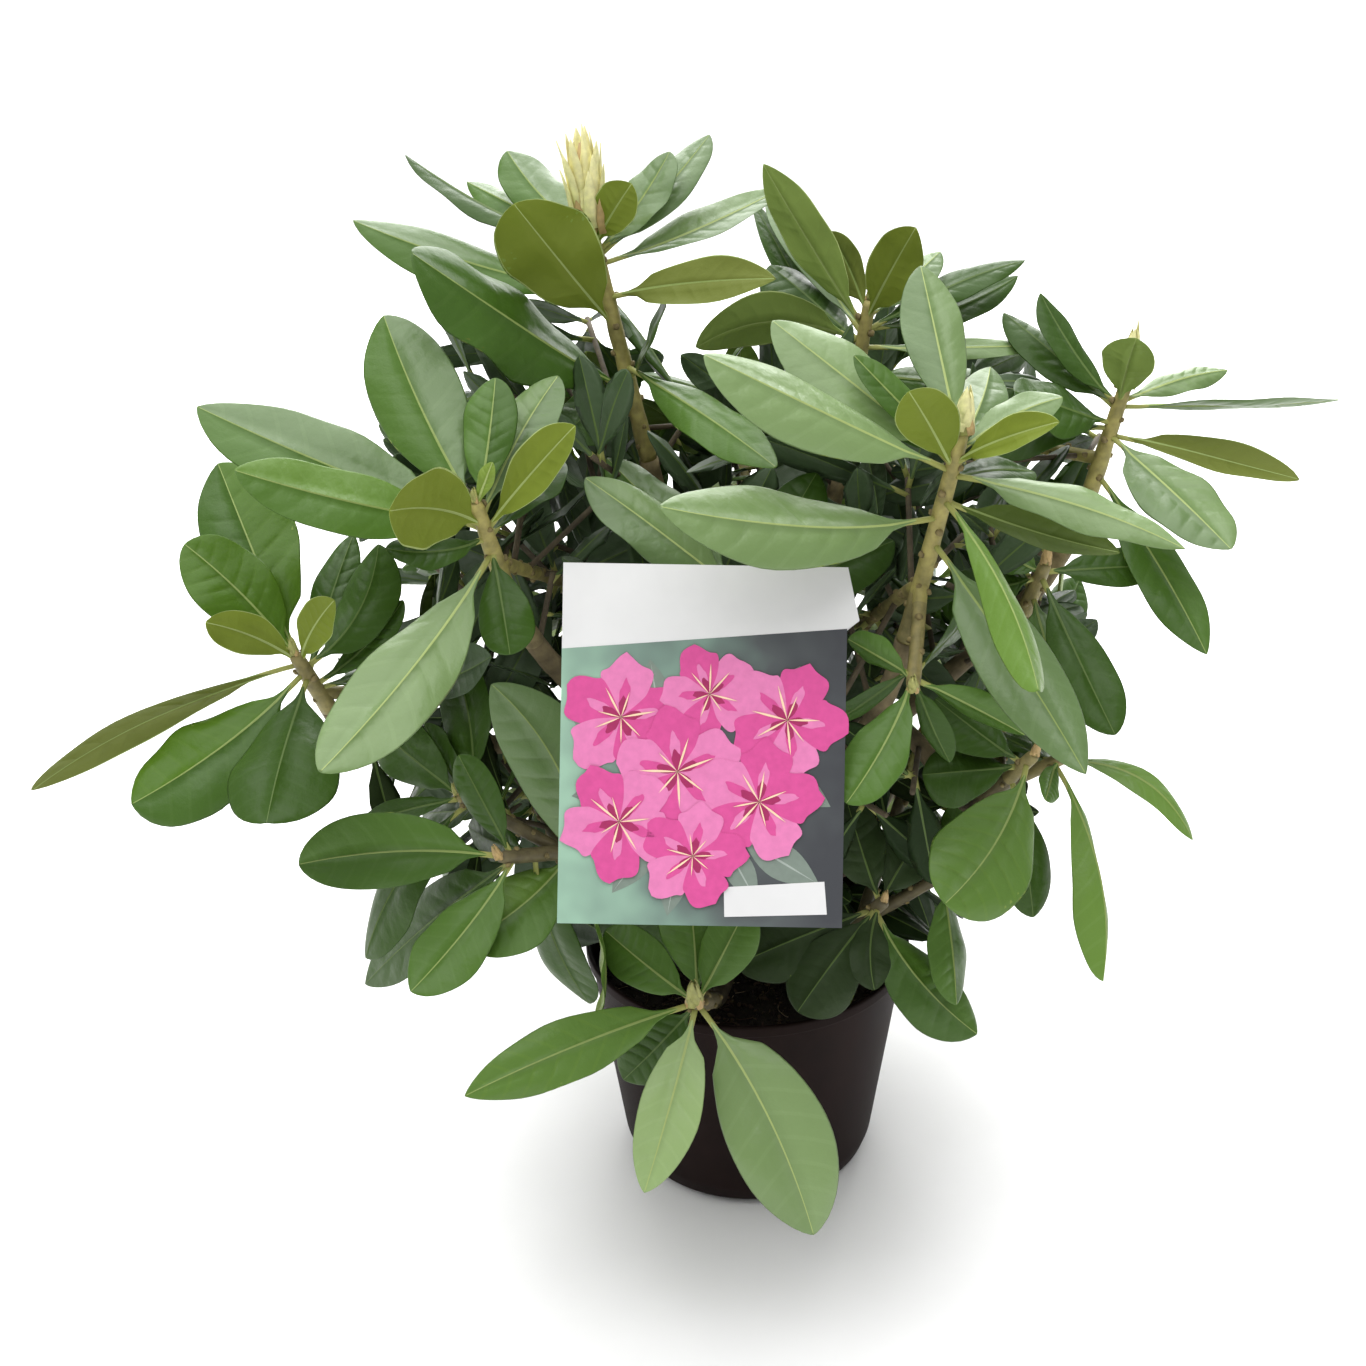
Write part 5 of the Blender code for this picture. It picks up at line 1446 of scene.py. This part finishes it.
def add_pot():
    """The pot, its profile of radius and height turned round the Z axis."""
    look = surface("pot_plastic", (0.0135, 0.0075, 0.0068), 0.60, 0.25, 35, 0.25, 2600)
    look.node_tree.nodes["Principled BSDF"].inputs["Specular IOR Level"].default_value = 0.06
    lip_foot = POT_HEIGHT - POT_LIP_HEIGHT
    foot_inside = pot_radius(POT_FOOT_HEIGHT) - POT_WALL
    corners = (
        (0.0005, POT_FLOOR),
        (foot_inside - 0.008, POT_FLOOR),
        (foot_inside, POT_FOOT_HEIGHT),
        (pot_radius(POT_HEIGHT) - POT_WALL, POT_HEIGHT),
        (POT_RIM_RADIUS, POT_HEIGHT),
        (POT_RIM_RADIUS, lip_foot),
        (pot_radius(lip_foot), lip_foot),
        (POT_FOOT_RADIUS, POT_FOOT_HEIGHT),
        (POT_FOOT_RADIUS - 0.0035, 0.006),
        (POT_BASE_RADIUS, 0.0),
        (0.0005, 0.0),
    )
    angles = np.arange(POT_SEGMENTS) * 2 * np.pi / POT_SEGMENTS
    profile = rounded(corners, POT_ROUNDING, 4)
    pile = Pile()
    add_tube(pile, np.array([[(r * cos(a), r * sin(a), z) for a in angles] for r, z in profile]))
    finish_piece(pile.build("pot_shell", [look]), ["pot"])


def peat_height(x, y):
    """The height of the peat's rough top."""
    share = hypot(x, y) / pot_radius(PEAT_EDGE_HEIGHT)
    level = blend(PEAT_MIDDLE_HEIGHT, PEAT_EDGE_HEIGHT, share * share)
    place = Vector((x, y, 0.0))
    return level + PEAT_ROUGHNESS * (noise.noise(place * 130) * 0.6 + noise.noise(place * 420) * 0.4)


def place_on_peat(reach, chance):
    radius, angle = reach * sqrt(chance.random()), chance.uniform(0, tau)
    return radius * cos(angle), radius * sin(angle)


def add_crumbs(pile, reach, chance):
    """Lumps of peat and bark lying on the peat."""
    shape = bmesh.new()
    bmesh.ops.create_icosphere(shape, subdivisions=1, radius=1.0)
    ball = np.array([v.co for v in shape.verts])
    faces = np.array([[v.index for v in f.verts] for f in shape.faces])
    shape.free()
    for _ in range(PEAT_CRUMBS):
        x, y = place_on_peat(reach - 0.003, chance)
        size = chance.uniform(*CRUMB_SIZE)
        stretch = [chance.uniform(*ends) * size for ends in CRUMB_STRETCHES]
        spin = Matrix.Rotation(chance.uniform(*ANY_PHASE), 3, "Z")
        turn = np.array(spin @ Matrix.Rotation(chance.uniform(-0.5, 0.5), 3, "X"))
        lumps = np.array([[chance.uniform(0.7, 1.2)] for _ in range(len(ball))])
        points = (ball * lumps * stretch) @ turn.T + (x, y, peat_height(x, y) + size * 0.25)
        slot = 1 if chance.random() < 0.35 else 0
        pile.add(points, np.zeros((0, 4), int), np.zeros(0), faces, np.full(len(faces), slot))


def add_fibres(pile, reach, chance):
    """Bent fibres lying on the peat."""
    for _ in range(PEAT_FIBRES):
        x, y = place_on_peat(reach - 0.008, chance)
        heading, length = chance.uniform(0, tau), chance.uniform(*FIBRE_LENGTH)
        bend = chance.uniform(*FIBRE_BEND)
        path = []
        for i in range(6):
            share = i / 5 - 0.5
            turn = heading + bend * share
            px, py = x + cos(turn) * length * share, y + sin(turn) * length * share
            path.append(Vector((px, py, peat_height(px, py) + 0.0007)))
        add_tube(pile, rings_along(path, [FIBRE_RADIUS] * 6, 5), 2 if chance.random() < 0.3 else 1)


def add_peat():
    """Rough peat with crumbs and fibres lying on it."""
    looks = [
        surface("peat", (0.022, 0.015, 0.011), 0.95, 0.45, 500, 1.0, 1400),
        surface("peat_crumb", (0.075, 0.045, 0.028), 0.9, 0.4, 500, 0.8, 1500),
        surface("peat_fibre", (0.300, 0.230, 0.150), 0.85, 0.3, 500, 0.5, 1500),
    ]
    pile = Pile()
    reach = pot_radius(PEAT_EDGE_HEIGHT) - POT_WALL - PEAT_GAP
    rings = []
    for i in range(PEAT_RINGS):
        radius = max(PEAT_GAP, reach * i / (PEAT_RINGS - 1))
        angles = [tau * j / PEAT_SEGMENTS for j in range(PEAT_SEGMENTS)]
        ring = [(radius * cos(angle), radius * sin(angle)) for angle in angles]
        rings.append([(x, y, peat_height(x, y)) for x, y in ring])
    rings.append([(x * 0.97, y * 0.97, PEAT_EDGE_HEIGHT - PEAT_DEPTH) for x, y, _ in rings[-1]])
    add_tube(pile, np.array(rings))
    chance = random.Random(SEED + 2)
    add_crumbs(pile, reach, chance)
    add_fibres(pile, reach, chance)
    finish_piece(pile.build("peat_top", looks), ["peat"])


# Stage

def add_camera():
    """The camera that sees the front as the photograph does."""
    camera = bpy.data.cameras.new("camera")
    camera.lens = LENS_MM
    camera.sensor_width = SENSOR_MM
    camera.clip_start = 0.01
    camera.clip_end = 50.0
    obj = add_to_scene("camera", camera)
    turn = Matrix((VIEW_RIGHT, VIEW_UP, -VIEW_FORWARD)).transposed()
    obj.matrix_world = Matrix.Translation(VIEW_POINT) @ turn.to_4x4()
    bpy.context.scene.camera = obj


def add_lamp(name, data, place, way):
    turn = way.to_track_quat("-Z", "Y").to_matrix().to_4x4()
    add_to_scene(name, data).matrix_world = Matrix.Translation(place) @ turn


def add_stage():
    """A white floor, an even sky, a soft key light from above and a soft light from behind."""
    bpy.ops.mesh.primitive_plane_add(size=FLOOR_SIZE, location=(0.0, 0.0, 0.0))
    floor = bpy.context.active_object
    floor.name = "floor"
    floor.data.materials.append(surface("floor_paper", (0.88, 0.88, 0.88), 0.9, 0.01, 20, 0.02, 400))
    world = bpy.data.worlds.new("studio")
    world.use_nodes = True
    backdrop = world.node_tree.nodes["Background"]
    backdrop.inputs["Color"].default_value = (1.0, 1.0, 1.0, 1.0)
    backdrop.inputs["Strength"].default_value = WORLD_STRENGTH
    bpy.context.scene.world = world
    key = bpy.data.lights.new("key", "SUN")
    key.energy = KEY_STRENGTH
    key.angle = radians(KEY_SOFTNESS)
    add_lamp("key", key, Vector(), KEY_WAY)
    back = bpy.data.lights.new("back_soft", "AREA")
    back.shape = "SQUARE"
    back.size = BACK_LIGHT_SIZE
    back.energy = BACK_LIGHT_POWER
    add_lamp("back_soft", back, BACK_LIGHT_PLACE, BACK_LIGHT_TARGET - BACK_LIGHT_PLACE)
    bpy.context.scene.view_settings.view_transform = "Standard"


# The whole

def main():
    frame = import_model()
    add_camera()
    shoots = all_shoots()
    masses = [name for name, shoot in shoots.items() if shoot[0] == name]
    obstacles = all_obstacles(shoots, frame["nodes"])
    leaves = place_leaves(shoots, obstacles)
    limbs = limb_paths(shoots)
    fill = fill_shoots(fill_stems(limbs, shoots), obstacles)
    add_limbs(limbs, fill)
    add_twigs(shoots)
    add_buds(shoots)
    add_leaves(leaves, masses, fill)
    add_pot()
    add_peat()
    add_card()
    tie = frame["nodes"]["label_tie"]
    tie.material_slots[0].material = surface("tie_plastic", (0.55, 0.57, 0.55), 0.4, 0.05, 200)
    add_stage()
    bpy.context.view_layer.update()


main()
